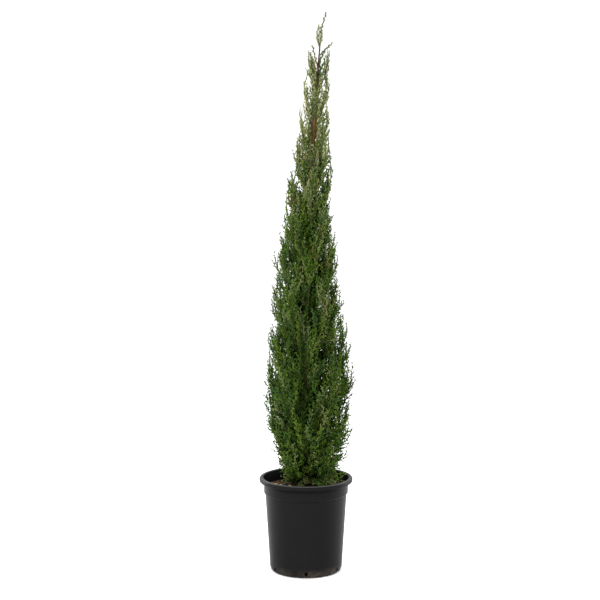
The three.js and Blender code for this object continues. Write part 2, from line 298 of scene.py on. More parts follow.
def cord_points(paths, radii, sides):
    """A ring of points round each station of each path, but one point at its last."""
    tangents = unit(np.gradient(paths, axis=1))[:, :-1]
    overall = np.abs(paths[:, -1] - paths[:, 0])
    across = np.eye(3)[np.argmin(overall, axis=1)][:, None]
    first = unit(np.cross(tangents, across))
    second = np.cross(tangents, first)
    circle = swung(first[:, :, None], second[:, :, None], turns(sides))
    rings = paths[:, :-1, None] + circle * radii[..., :-1, None, None]
    return np.concatenate([rings.reshape(len(paths), -1, 3), paths[:, -1:]], axis=1)


SPINDLE_FACES = np.array([(0, 2, 1), (0, 3, 2), (0, 1, 3), (1, 2, 4), (2, 3, 4), (3, 1, 4)])


def spindle_points(roots, middles, tips, radii):
    """Three points round the middle of each spindle, which is pointed at its root and its tip."""
    along = unit(tips - roots)
    first = unit(np.cross(along, np.eye(3)[np.argmin(np.abs(along), axis=1)]))
    second = np.cross(along, first)
    ring = middles[:, None] + swung(first[:, None], second[:, None], turns(3)) * radii[:, None, None]
    return np.concatenate([roots[:, None], ring, tips[:, None]], axis=1)


class Thicket:
    """Cords and spindles gathered into one mesh."""

    def __init__(self):
        self.points = []
        self.faces = []
        self.finishes = []
        self.total = 0

    def gather(self, points, pattern, finishes):
        """points is (twigs, points, 3), pattern the faces of one twig. finishes has a number a twig."""
        starts = self.total + np.arange(len(points)) * points.shape[1]
        self.points.append(points.reshape(-1, 3))
        self.faces.append((starts[:, None, None] + pattern).reshape(-1, 3))
        self.finishes.append(np.repeat(finishes, len(pattern)))
        self.total += points.shape[0] * points.shape[1]

    def add_cords(self, paths, radii, sides, finishes):
        """paths is (cords, stations, 3). radii is the same for all cords, or (cords, stations)."""
        self.gather(cord_points(paths, radii, sides), cord_faces(paths.shape[1] - 1, sides), finishes)

    def add_spindles(self, roots, middles, tips, radii, finishes):
        self.gather(spindle_points(roots, middles, tips, radii), SPINDLE_FACES, finishes)

    def piece(self, name, materials, slot, nodes):
        points, faces, finishes = map(np.concatenate, (self.points, self.faces, self.finishes))
        return add_piece(name, points, faces, materials, nodes, finishes)


# The trunk, by the rule that made its solid

TRUNK_FOOT_RADIUS = 7.6 * MM
TRUNK_TIP_RADIUS = 1.2 * MM
TRUNK_TAPER = 0.75
FLARE = 3.4 * MM
FLARE_HEIGHT = 11 * MM
TRUNK_FOOT_X = 2 * MM
TRUNK_LEAN = 24.5 * MM
LEAN_POWER = 2.8
TRUNK_SWAY = 5 * MM
CLEAR = 0.3 * MM


def trunk_share(height):
    return np.clip((height - TRUNK_FOOT) / (TRUNK_TOP - TRUNK_FOOT), 0, 1)


def trunk_centre(height):
    share = trunk_share(height)
    x = TRUNK_FOOT_X + TRUNK_LEAN * share**LEAN_POWER
    y = TRUNK_SWAY * np.sin(np.pi * share)
    return np.stack([x, y, height], axis=-1)


def trunk_direction(heights):
    return unit(trunk_centre(heights + CLEAR) - trunk_centre(heights))


def flare_share(height):
    return np.exp(-(height - TRUNK_FOOT) / FLARE_HEIGHT)


def trunk_radius(height):
    taper = (1 - trunk_share(height)) ** TRUNK_TAPER
    return lerp(TRUNK_TIP_RADIUS, TRUNK_FOOT_RADIUS, taper) + FLARE * flare_share(height)


def from_trunk(points):
    """How far to the right of the trunk's middle points are, and how far behind it."""
    x, y, _ = np.moveaxis(points - trunk_centre(points[..., 2]), -1, 0)
    return x, y


# Chance, which depends only on its keys

SEED = 11
HASH = (12.9898, 78.233, 37.719, 43758.5453)


class Draw(IntEnum):
    """What a number is drawn for. The first four are drawn by the solids too."""

    TURN = 1
    SPREAD = 2
    FACE = 3
    REACH = 4
    LENGTH = 5
    TWIGLET_PLACE = 6
    TWIGLET_TURN = 7
    TWIGLET_SPREAD = 8
    TWIGLET_LENGTH = 9
    TWIGLET_TONE = 10
    BRANCHLET_PLACE = 11
    BRANCHLET_TURN = 12
    BRANCHLET_SPREAD = 13
    BRANCHLET_LENGTH = 14
    WOOD = 15
    PLACE = 16
    BEARING = 17
    TILT = 18
    TONE = 19
    FAMILY = 20
    PLUME_FAMILY = 21
    FAVOURITE = 22
    AIRY = 24


def chance(plume, shoot, purpose):
    """A number from 0 to 1, the same as in the source of the solids."""
    mixed = np.sin(plume * HASH[0] + shoot * HASH[1] + purpose * HASH[2] + SEED) * HASH[3]
    return mixed - np.floor(mixed)


def varied(spread, luck):
    """1, give or take a spread."""
    return 1 - spread + 2 * spread * luck


# The crown's space, shared out among the plumes by the rule that made their solids. The outline
# gives at each height the half width, and how much further the plumes reach on the right. PLUME_COUNTS
# gives the plumes of a tier below each radius. Each window, where the trunk shows, has its lowest and
# highest height and its half width.

CROWN_OUTLINE = np.array([
    [180, 56, 6], [229, 70, 7], [270, 81, 6], [320, 88, 4], [370, 92, 6], [450, 85, 4], [541, 75, -4],
    [640, 63, -7], [735, 52, -7], [799, 44, -4], [862, 39, 0], [926, 31, -2], [989, 27, 0], [1052, 22, 0],
]) * MM
LOWEST_FACE = 192 * MM
CROWN_TOP_FACE = 1086 * MM
TIER_GAP = 39 * MM
TIER_GAP_SHARE = 0.6
PLUME_CLIMB = 46 * MM
PLUME_CLIMB_SHARE = 1.4
LOW_PLUME_START = 186 * MM
LOW_PLUME_SHARE = 0.3
CLIMB_POWER = 1.35
OPEN_FRONT_HEIGHT = 850 * MM
OPEN_FRONT_ANGLE = 0.8
THIN_HEIGHT = 985 * MM
PLUME_COUNTS = [(27 * MM, 2), (33 * MM, 3), (60 * MM, 4), (math.inf, 5)]
BOUGH_TIER = 2
BOUGH_SHARE = 0.34
WINDOWS = ((872 * MM, 935 * MM, 4.6 * MM), (985 * MM, 1058 * MM, 3 * MM))
CELL_MARGIN = 1 * MM
LOWEST_TWIG = 181 * MM
HIGHEST_TWIG = 1131 * MM


def crown_radius(height):
    return np.interp(height, CROWN_OUTLINE[:, 0], CROWN_OUTLINE[:, 1])


def crown_reach(height, bearing):
    extra = np.interp(height, CROWN_OUTLINE[:, 0], CROWN_OUTLINE[:, 2])
    return crown_radius(height) + extra * np.cos(bearing)


def crown_share(points):
    """How far out points are, as a share of the crown's half width."""
    return np.hypot(*from_trunk(points)) / crown_radius(points[:, 2])


def tier_faces():
    """Heights at the outline where one tier of plumes ends and the next begins."""
    faces = [LOWEST_FACE]
    while faces[-1] < CROWN_TOP_FACE - TIER_GAP:
        faces.append(faces[-1] + TIER_GAP + TIER_GAP_SHARE * crown_radius(faces[-1]))
    faces[-1] = CROWN_TOP_FACE
    return faces


TIER_FACES = tier_faces()
TIP_TIER = len(TIER_FACES) - 1


def face_height(tier, reach):
    """The height of a tier's lower face at a share of the crown's radius."""
    outline_height = TIER_FACES[tier]
    low = LOW_PLUME_START + LOW_PLUME_SHARE * (outline_height - LOWEST_FACE)
    climb = PLUME_CLIMB + PLUME_CLIMB_SHARE * crown_radius(outline_height)
    start = max(low, outline_height - climb)
    return start + (outline_height - start) * reach**CLIMB_POWER


@dataclass
class Plume:
    """A mass of foliage. start is the share of its stem that is a bare bough."""

    name: str
    number: int
    tier: int
    height: float
    radius: float
    bearing: float
    half_angle: float
    start: float

    def luck(self, keys, purpose):
        return chance(self.number, keys, purpose)

    @property
    def is_tip(self):
        return self.tier == TIP_TIER

    @property
    def is_open(self):
        return self.height > OPEN_FRONT_HEIGHT

    @property
    def is_thin(self):
        return self.height > THIN_HEIGHT and not self.is_tip


def lay_out_plumes():
    plumes = []
    for tier in range(TIP_TIER):
        height = (TIER_FACES[tier] + TIER_FACES[tier + 1]) / 2
        radius = crown_radius(height)
        count = next(number for widest, number in PLUME_COUNTS if radius < widest)
        opening = OPEN_FRONT_ANGLE if height > OPEN_FRONT_HEIGHT else 0
        width = (FULL_TURN - opening) / count
        first = FRONT + (opening / 2 if opening else (tier % 2) * 0.5 * width)
        start = BOUGH_SHARE if tier == BOUGH_TIER else 0
        for i in range(count):
            name = f"plume_{tier + 1:02d}_{i + 1}"
            bearing = first + width * (i + 0.5)
            plumes.append(Plume(name, len(plumes), tier, height, radius, bearing, width / 2, start))
    tip = ("leader_tip", len(plumes), TIP_TIER, CROWN_TOP_FACE, crown_radius(CROWN_TOP_FACE))
    return plumes + [Plume(*tip, 0, FULL_TURN, 0)]


PLUMES = lay_out_plumes()


def hides_trunk(points):
    """Which points lie in front of the trunk in one of its windows."""
    height = points[..., 2]
    x, y = from_trunk(points)
    is_hiding = np.zeros(height.shape, dtype=bool)
    for low, high, width in WINDOWS:
        is_hiding |= (height > low) & (height < high) & (np.abs(x) < width) & (y < 0)
    return is_hiding


def inside_plume(plume, points, furthest, margin=CELL_MARGIN):
    """Which points lie in the plume's space, by a margin, and no further out than furthest."""
    height = points[..., 2]
    if plume.is_tip:
        return height < HIGHEST_TWIG
    x, y = from_trunk(points)
    distance = np.maximum(np.hypot(x, y), CLEAR)
    bearing = np.arctan2(y, x)
    reach = distance / crown_reach(height, bearing)
    slack = np.arcsin(np.clip(margin / distance, -1, 1))
    return (
        (reach <= furthest)
        & (height < TRUNK_TOP)
        & (distance > trunk_radius(height) + CLEAR + CELL_MARGIN)
        & (height > np.maximum(face_height(plume.tier, reach) + 2 * margin, LOWEST_TWIG))
        & (height < face_height(plume.tier + 1, reach) - 2 * margin)
        & (np.abs(turn_between(bearing, plume.bearing)) < plume.half_angle - slack)
        & ~hides_trunk(points)
    )


# The stems and sprays of the solids

STEM_PLACE = (0.36, 0.5)
STEM_END = 0.86
STEM_RADIUS = 2.6 * MM
STEM_TIP_RADIUS = 0.8 * MM
STEM_STEP = 0.02
THIN_STEM = 0.5
THICK_CROWN = 180 * MM
GOLDEN_ANGLE = math.pi * (3 - math.sqrt(5))
SPRAY_LENGTH = 34 * MM
SPRAY_LENGTH_SHARE = 0.62
SPRAYS = 4
SPRAYS_SHARE = 0.034 / MM
FIRST_SPRAY = 0.26
SPRAY_SHIFT = 0.3
LAST_SPRAY = 0.93
SMALLEST_SPRAY = 0.3
SPRAY_STEP = 0.07
SPREAD = (0.62, 0.26)
FLATNESS = 0.7
TIP_REACH = (0.97, 0.1)


def stem_point(plume, share):
    """A plume's stem leaves the trunk and bends up through the middle of its space."""
    share = np.asarray(share, dtype=float)
    reach = STEM_END * share
    low = face_height(plume.tier, reach)
    high = face_height(plume.tier + 1, reach)
    height = lerp(low, high, lerp(*STEM_PLACE, share))
    out = reach * crown_reach(height, plume.bearing)
    return trunk_centre(height) + out[..., None] * outward_at(plume.bearing)


def stem_direction(plume, share):
    share = np.asarray(share, dtype=float)
    before = stem_point(plume, np.maximum(share - STEM_STEP, 0))
    return unit(stem_point(plume, np.minimum(share + STEM_STEP, 1)) - before)


def stem_radius(plume, share):
    thickness = THIN_STEM + plume.radius / THICK_CROWN
    return lerp(STEM_RADIUS, STEM_TIP_RADIUS, share) * thickness


def spray_direction(plume, shoot, share):
    """Sprays leave the stem all round it, most of all to its sides, and closer to it near the tip."""
    along = stem_direction(plume, share)
    side = np.cross(UP, outward_at(plume.bearing))
    turn = shoot * GOLDEN_ANGLE + FULL_TURN * plume.luck(0, Draw.TURN)
    out = swung(side, unit(np.cross(along, side)), turn, FLATNESS)
    spread = lerp(*SPREAD, share) * varied(0.2, plume.luck(shoot, Draw.SPREAD))
    return unit(swung(along, out, spread))


def full_length(plume):
    return SPRAY_LENGTH + SPRAY_LENGTH_SHARE * plume.radius


def spray_count(plume):
    return round(SPRAYS + SPRAYS_SHARE * plume.radius)


# Shoots. The keys tell from where a shoot grows: those of the solids' sprays start at 0, and the
# others at the numbers below. A reach is the least, as a share of the crown, and the most on top.

TRUNK_KEY = 50
SKIRT_KEY = 150
FRONT_KEY = 300
VEIL_KEY = 350
BRANCH_KEY = 400
BOW = 0.5
SHOOT_SIZES = np.arange(1, SMALLEST_SPRAY, -SPRAY_STEP)
SHOOT_REACH = (0.84, 0.12)
AIRY_REACH = (0.95, 0.14)
AIRY_SHARE = 0.36
FREE_REACH = 9.0
REACH_SLACK = 0.01
OVERLAP = -0.3
VEIL_OVERLAP = -1.2
EDGE_CROSSING = -3 * MM
UPTURN_HEIGHTS = (290 * MM, 440 * MM)
UPTURNS = (0.25, 0.8)
LENS_SHOOTS = 8


class Rows:
    """Columns of equal length, with a row for each twig. Brackets pick rows."""

    def __getitem__(self, which):
        return type(self)(*(column[which] for column in vars(self).values()))


@dataclass
class Shoots(Rows):
    """Bowed shoots, with the straight directions from their roots to their tips."""

    roots: np.ndarray
    along: np.ndarray
    outward: np.ndarray
    lengths: np.ndarray
    keys: np.ndarray
    furthest: np.ndarray

    def between(self, first, last):
        return (self.keys >= first) & (self.keys < last)

    @property
    def is_inner(self):
        return self.between(TRUNK_KEY, SKIRT_KEY)

    @property
    def is_skirt(self):
        return self.between(SKIRT_KEY, FRONT_KEY)

    @property
    def is_airy(self):
        return (self.furthest >= AIRY_REACH[0]) & (self.furthest < FREE_REACH) & ~self.is_skirt

    @property
    def is_long(self):
        """Whether a shoot of the tip is one of the long ones, and not of the bud."""
        return self.keys >= LENS_SHOOTS

    def crossing(self, plume):
        """How far each shoot's twigs stay within the plume's space. Below 0 they cross its faces."""
        is_veil = self.between(VEIL_KEY, BRANCH_KEY)
        return EDGE_CROSSING + plume.radius * np.where(is_veil, VEIL_OVERLAP, OVERLAP)

    def point(self, share):
        bow = BOW * (share - share**2)
        line = self.along * share[:, None] + self.outward * bow[:, None]
        return self.roots + line * self.lengths[:, None]

    def tangent(self, share):
        return unit(self.along + self.outward * (BOW * (1 - 2 * share))[:, None])

    def paths(self, shares):
        """Each shoot's points at the same shares of its length."""
        which, step = pairs(len(self.keys), len(shares))
        return self[which].point(shares[step]).reshape(-1, len(shares), 3)


def joined(groups):
    return Shoots(*map(np.concatenate, zip(*(vars(group).values() for group in groups))))


def fitted(plume, roots, directions, lengths, furthest, sizes, margin):
    """The largest of the sizes at which each straight shoot's tip stays in the plume's space, or 0."""
    found = np.zeros(len(roots))
    for size in sizes:
        tips = roots + directions * (lengths * size)[:, None]
        found[(found == 0) & inside_plume(plume, tips, furthest, margin)] = size
    return found * lengths


def shoot_reach(plume, keys):
    """How far out each shoot may reach. Some outgrow the rest, and carry fewer twigs."""
    luck = plume.luck(keys, Draw.REACH)
    is_airy = plume.luck(keys, Draw.AIRY) < AIRY_SHARE
    return np.where(is_airy, AIRY_REACH[0] + AIRY_REACH[1] * luck, SHOOT_REACH[0] + SHOOT_REACH[1] * luck)


def grown_shoots(plume, roots, along, keys, stem, wholes, furthest=None, margin=None, bow=1.0):
    """Shoots, each as long as its plume's space allows. Those with no room are left out."""
    if furthest is None:
        furthest = shoot_reach(plume, keys)
    if margin is None:
        margin = OVERLAP * plume.radius
    lengths = fitted(plume, roots, along, wholes, furthest, SHOOT_SIZES, margin)
    outward = bow * (along - stem * np.sum(along * stem, axis=1, keepdims=True))
    fits = (lengths > 0) & ~hides_trunk(roots + along * (lengths / 2)[:, None])
    return Shoots(roots, along, outward, lengths, keys, furthest)[fits]


def upturned(along, heights):
    """Directions bent up along the trunk, more so half way up than at the foot of the crown."""
    upturn = np.interp(heights, UPTURN_HEIGHTS, UPTURNS)
    return unit(along + upturn[:, None] * trunk_direction(heights))


def tilted(bearings, tilts, up):
    return unit(swung(up, outward_at(bearings), tilts))


# The shoots along a plume's stem and its sprays

FIRST_SHOOT = 0.08
BEYOND_BOUGH = 0.06
SHOOT_LENGTHS = (0.6, 0.95)
BRANCH_GAP = 6.6 * MM
FIRST_BRANCH = 0.9
BRANCH_SHIFT = 0.7
OPEN_BRANCH_GAP = 1.4
THIN_BRANCH_GAP = 2
BRANCH_SPREAD = 0.62
BRANCH_LENGTHS = (34 * MM, 62 * MM)
SMALLEST_BRANCHES = 0.45
BRANCH_TURN = 2.4
MOST_BRANCHES = 16
LAST_BRANCH = 0.96
BOUGH_RADIUS = 90 * MM


def solid_sprays(plume):
    """The sprays of the plume's solid, along its stem and at its end."""
    count = spray_count(plume)
    keys = np.arange(count)
    shares = lerp(max(FIRST_SPRAY, plume.start + BEYOND_BOUGH), LAST_SPRAY, (keys + SPRAY_SHIFT) / count)
    along = np.concatenate([spray_direction(plume, keys, shares), stem_direction(plume, [1.0])])
    keys = np.append(keys, count).astype(float)
    shares = np.append(shares, LAST_SPRAY)
    roots, stem = stem_point(plume, shares), stem_direction(plume, shares)
    wholes = np.full(len(keys), full_length(plume))
    furthest = TIP_REACH[0] + TIP_REACH[1] * plume.luck(keys, Draw.REACH)
    return grown_shoots(plume, roots, along, keys, stem, wholes, furthest, CELL_MARGIN)


def shoot_lengths(plume, keys):
    return full_length(plume) * lerp(*SHOOT_LENGTHS, plume.luck(keys, Draw.LENGTH))


def stem_shoots(plume, fineness):
    """Finer shoots between the sprays, all along the stem, that bend further up."""
    count = spray_count(plume)
    keys = np.arange(0, count, 1 / fineness) + 0.5 / fineness
    shares = lerp(max(FIRST_SHOOT, plume.start), LAST_SPRAY, keys / count)
    roots, stem = stem_point(plume, shares), stem_direction(plume, shares)
    along = upturned(spray_direction(plume, keys, shares), roots[:, 2])
    return grown_shoots(plume, roots, along, keys, stem, shoot_lengths(plume, keys))


def branch_shoots(plume, sprays):
    """Upturned shoots along the sprays, further apart in the upper crown."""
    gap = BRANCH_GAP * (THIN_BRANCH_GAP if plume.is_thin else OPEN_BRANCH_GAP if plume.is_open else 1)
    which, step = pairs(len(sprays.keys), MOST_BRANCHES)
    parents = sprays[which]
    keys = BRANCH_KEY + parents.keys * MOST_BRANCHES + step
    shift = BRANCH_SHIFT * (plume.luck(keys, Draw.PLACE) - 0.5)
    place = (step + FIRST_BRANCH + shift) * gap / parents.lengths
    parents, step, keys, place = kept(place < LAST_BRANCH, parents, step, keys, place)
    roots, tangents = parents.point(place), parents.tangent(place)
    up = trunk_direction(roots[:, 2])
    turn = step * BRANCH_TURN + FULL_TURN * plume.luck(parents.keys, Draw.BEARING)
    spread = BRANCH_SPREAD * varied(0.3, plume.luck(keys, Draw.TILT))
    along = upturned(swung(tangents, around(tangents, turn, up), spread), roots[:, 2])
    size = lerp(SMALLEST_BRANCHES, 1, plume.radius / BOUGH_RADIUS)
    wholes = lerp(*BRANCH_LENGTHS, plume.luck(keys, Draw.LENGTH)) * size
    return grown_shoots(plume, roots, along, keys, up, wholes)


# The shoots that leave the trunk itself. VEILS gives the heights of the veils' roots in each tier.

TRUNK_DEPTH = 0.6
TRUNK_SHOOT_GAP = 3.3 * MM
TRUNK_SHOOT_TILT = (0.15, 0.6)
FRONT_GAP = 1.5
FRONT_WIDTH = 1.25
TRUNK_WIDTH = 0.95
VEIL_SHOOTS = 11
VEILS = {
    8: (745 * MM, 800 * MM), 9: (810 * MM, 838 * MM), 10: (918 * MM, 936 * MM), 11: (939 * MM, 954 * MM),
}
VEIL_PLUMES = 2.0
VEIL_WIDTH = 1.15
VEIL_TILT = (0.08, 0.42)
VEIL_LENGTHS = (24 * MM, 40 * MM)
VEIL_REACH = 0.8
SKIRT_SHOOTS = 44
SKIRT_HEIGHTS = (183 * MM, 226 * MM)
SKIRT_TILT = (1.56, 0.7)
SKIRT_LENGTHS = (38 * MM, 84 * MM)
SKIRT_REACH = (1.12, 0.25)
SKIRT_SIDE = -0.9
SKIRT_LOWNESS = 1.8
SKIRT_BOW = -0.25
SKIRT_GAP = (-2.25, 0.4)


def shoots_from_trunk(plume, keys, heights, bearings, tilts, wholes, **limits):
    up = trunk_direction(heights)
    roots = trunk_centre(heights) + outward_at(bearings) * (TRUNK_DEPTH * trunk_radius(heights))[:, None]
    return grown_shoots(plume, roots, tilted(bearings, tilts, up), keys, up, wholes, **limits)


def spread_bearings(plume, keys, width):
    """Bearings dealt out over a share of the plume's width."""
    luck = plume.luck(keys, Draw.BEARING)
    return plume.bearing + plume.half_angle * width * (2 * luck - 1)


def trunk_shoots(plume):
    """Steep shoots all the way up. Below the open front they are dark and coarse."""
    low = max(float(face_height(plume.tier, 0)), LOWEST_TWIG)
    high = float(face_height(plume.tier + 1, 0))
    gap = TRUNK_SHOOT_GAP * (FRONT_GAP if plume.is_open else 1)
    numbers = np.arange(max(2, round(plume.half_angle * (high - low) / gap)))
    keys = (FRONT_KEY if plume.is_open else TRUNK_KEY) + numbers
    heights = lerp(low, high, (numbers + plume.luck(keys, Draw.PLACE)) / len(numbers))
    is_front = plume.is_open and not plume.is_thin
    bearings = spread_bearings(plume, keys, FRONT_WIDTH if is_front else TRUNK_WIDTH)
    tilts = lerp(*TRUNK_SHOOT_TILT, plume.luck(keys, Draw.TILT))
    return shoots_from_trunk(plume, keys, heights, bearings, tilts, shoot_lengths(plume, keys))


def veil_shoots(plume):
    """Steep shoots in front of the trunk, where the plumes leave it open."""
    keys = VEIL_KEY + np.arange(VEIL_SHOOTS)
    heights = lerp(*VEILS[plume.tier], plume.luck(keys, Draw.PLACE))
    side = np.sign(turn_between(plume.bearing, FRONT))
    bearings = FRONT + side * VEIL_WIDTH * plume.luck(keys, Draw.BEARING)
    tilts = lerp(*VEIL_TILT, plume.luck(keys, Draw.TILT))
    wholes = lerp(*VEIL_LENGTHS, plume.luck(keys, Draw.LENGTH))
    limits = {"furthest": np.full(VEIL_SHOOTS, VEIL_REACH), "margin": VEIL_OVERLAP * plume.radius}
    return shoots_from_trunk(plume, keys, heights, bearings, tilts, wholes, **limits)


def skirt_shoots(plume):
    """Low wide shoots that hang over the soil, but not at the front left."""
    keys = SKIRT_KEY + np.arange(SKIRT_SHOOTS)
    bearings = spread_bearings(plume, keys, 1)
    middle, half_width = SKIRT_GAP
    keys, bearings = kept(np.abs(turn_between(bearings, middle)) > half_width, keys, bearings)
    rise = plume.luck(keys, Draw.PLACE) ** SKIRT_LOWNESS
    heights, tilts = lerp(*SKIRT_HEIGHTS, rise), lerp(*SKIRT_TILT, rise)
    wholes = lerp(*SKIRT_LENGTHS, plume.luck(keys, Draw.LENGTH))
    limits = {"furthest": SKIRT_REACH[0] + SKIRT_REACH[1] * np.cos(bearings - SKIRT_SIDE), "bow": SKIRT_BOW}
    return shoots_from_trunk(plume, keys, heights, bearings, tilts, wholes, **limits)


# The tip: a slim bud like a lens round the leader, and long shoots. Each long shoot has the height of
# its root above the trunk's top, and the way to its tip.

LENS_FOOT = 2 * MM
LENS_TOP = 14 * MM
LENS_LENGTHS = (44 * MM, 32 * MM)
LENS_TILT = 0.05
LENS_BOW = 0.95
LENS_OPENING = 1.3
LENS_SHIFT = -1 * MM
LONG_SHOOTS = np.array([
    [27, 13, 2, 44], [-14, 25, -3, 25], [-40, -13, -4, 54], [-30, 14, 3, 29], [-52, -16, 2, 46],
]) * MM


def tip_shoots(plume):
    """The incurved shoots of the bud, open at the front, and the long shoots above and beside it."""
    keys = np.arange(LENS_SHOOTS)
    shares = keys / LENS_SHOOTS
    turn = keys * GOLDEN_ANGLE % FULL_TURN / FULL_TURN
    bearings = FRONT + lerp(LENS_OPENING / 2, FULL_TURN - LENS_OPENING / 2, turn)
    roots = trunk_centre(TRUNK_TOP) + UP * lerp(LENS_FOOT, LENS_TOP, shares)[:, None]
    roots[:, 0] += LENS_SHIFT * shares
    along = tilted(bearings, LENS_TILT * varied(0.3, plume.luck(shares, Draw.TILT)), UP)
    lengths = lerp(*LENS_LENGTHS, shares) * varied(0.1, plume.luck(shares, Draw.LENGTH))
    free = np.full(LENS_SHOOTS, FREE_REACH)
    lens = Shoots(roots, along, outward_at(bearings) * LENS_BOW, lengths, keys, free)

    roots = trunk_centre(TRUNK_TOP + LONG_SHOOTS[:, 0])
    ways = LONG_SHOOTS[:, 1:]
    keys = LENS_SHOOTS + np.arange(len(ways))
    free = np.full(len(ways), FREE_REACH)
    return joined([lens, Shoots(roots, unit(ways), 0 * ways, np.linalg.norm(ways, axis=1), keys, free)])


def lay_out_shoots(plume, crown):
    """Every shoot of a plume."""
    if plume.is_tip:
        return tip_shoots(plume)
    sprays = solid_sprays(plume)
    fineness = 1 if plume.is_thin else crown.thin_fineness if plume.is_open else crown.fineness
    groups = [sprays, stem_shoots(plume, fineness), branch_shoots(plume, sprays), trunk_shoots(plume)]
    if plume.tier in VEILS and abs(turn_between(plume.bearing, FRONT)) <= VEIL_PLUMES:
        groups.append(veil_shoots(plume))
    if plume.tier == 0:
        groups.append(skirt_shoots(plume))
    return joined(groups)


# Foliage colours, dealt out by shoot. MIXES has a row for each height, with the share of each family.

# Each family comes in three tones, darker and lighter copies of its colour, which carry painted shade and
# painted light as well as the foliage's own variety.
TONES = 3
TONE_LIGHT = (0.6, 0.9, 1.25)
FAMILIES = ("deep", "leaf", "fresh", "cool", "grey", "pale", "olive", "dry")
MIX_HEIGHTS = np.array([400, 570, 670, 770, 840, 940, 1000]) * MM
MIXES = np.array([
    [0.30, 0.42, 0.10, 0.13, 0.05, 0.00, 0.00, 0.00],
    [0.14, 0.36, 0.21, 0.12, 0.13, 0.00, 0.02, 0.02],
    [0.03, 0.20, 0.25, 0.12, 0.32, 0.00, 0.06, 0.02],
    [0.00, 0.06, 0.16, 0.12, 0.43, 0.06, 0.12, 0.05],
    [0.00, 0.00, 0.05, 0.07, 0.46, 0.22, 0.16, 0.04],
    [0.00, 0.00, 0.00, 0.03, 0.45, 0.34, 0.17, 0.01],
    [0.00, 0.00, 0.00, 0.10, 0.60, 0.16, 0.14, 0.00],
])
# The airy outer shoots lean to lighter, greyer families: painted light for the paler edges of the crown.
AIRY_MIX = np.array([0, 0.30, 0.20, 0.28, 0.22, 0, 0, 0])
AIRY_MIX_SHARE = 0.7
SKIRT_MIX = np.array([0.1, 0.2, 0.05, 0.15, 0.3, 0, 0.2, 0])
FAVOURITE_SHARE = 0.1
INSIDE_HEIGHTS = (600 * MM, 760 * MM)
INSIDE_FAMILIES = np.array([FAMILIES.index(name) for name in ("deep", "leaf", "grey")])
LENS_FAMILY = FAMILIES.index("pale")
LONG_FAMILY = FAMILIES.index("grey")


def shade_family(plume, shoots):
    """Each shoot's family of greens: now and then its plume's own, otherwise one of its height's mix."""
    if plume.is_tip:
        return np.where(shoots.is_long, LONG_FAMILY, LENS_FAMILY)
    heights = shoots.roots[:, 2]
    mixes = np.stack([np.interp(heights, MIX_HEIGHTS, column) for column in MIXES.T], axis=1)
    airy_share = AIRY_MIX_SHARE * (shoots.is_airy & (heights < OPEN_FRONT_HEIGHT))
    mixes = lerp(mixes, AIRY_MIX, airy_share[:, None])
    mixes = np.where(shoots.is_skirt[:, None], SKIRT_MIX, mixes)
    own = plume.luck(0, Draw.PLUME_FAMILY)
    is_own = plume.luck(shoots.keys, Draw.FAVOURITE) < FAVOURITE_SHARE
    luck = np.where(is_own, own, plume.luck(shoots.keys, Draw.FAMILY))
    family = np.sum(luck[:, None] > np.cumsum(mixes, axis=1)[:, :-1], axis=1)
    inside = INSIDE_FAMILIES[np.searchsorted(INSIDE_HEIGHTS, heights)]
    return np.where(shoots.is_inner, inside, family)


# Light and dark, much of it painted light and shade. Each cleft, a painted shade, has its turn from the
# front, width, middle height and half height.

# SHARE_LIGHT darkens the inside of the crown as painted shade.
SHARE_LIGHT = 0.7
PLACE_LIGHT = 0.2
LUCK_LIGHT = 0.65
# AIRY_LIGHT lightens the airy outer shoots as painted light.
AIRY_LIGHT = 0.4
# TOP_LIGHT lightens the upper crown as painted light.
TOP_LIGHT = 0.4
TOP_POWER = 2.5
STREAK_LIGHT = 0.2
BROAD_STREAKS = 5
BROAD_SWAY = 2.6
BROAD_HEIGHT = 190 * MM
BROAD_START = 1.2
BROAD_SHARE = 0.55
NARROW_STREAKS = 11
NARROW_HEIGHT = 110 * MM
NARROW_START = 0.4
CLEFT_SHADE_DEPTH = 1.2
CLEFT_SHADES = ((-0.13, 0.11, 440 * MM, 145 * MM), (0.03, 0.3, 205 * MM, 26 * MM))
TONE_LIMITS = (0.62, 1.0)
SHOOT_TONE_SHARE = 0.7


def streak(bearing, height):
    """Upright streaks of lighter and darker foliage, from -1 to 1."""
    sway = BROAD_SWAY * np.sin(height / BROAD_HEIGHT)
    broad = np.sin(BROAD_STREAKS * bearing + sway + BROAD_START)
    narrow = np.sin(NARROW_STREAKS * bearing + height / NARROW_HEIGHT + NARROW_START)
    return BROAD_SHARE * broad + (1 - BROAD_SHARE) * narrow


def cleft_shade(bearing, height):
    """Painted shade of dark upright clefts half way up the front of the crown and at its foot, from 0 to 1.
    """
    depth = 0
    for side, width, middle, tall in CLEFT_SHADES:
        turn = turn_between(bearing - FRONT, side) / width
        depth = depth + np.exp(-turn**2 - ((height - middle) / tall) ** 4)
    return depth


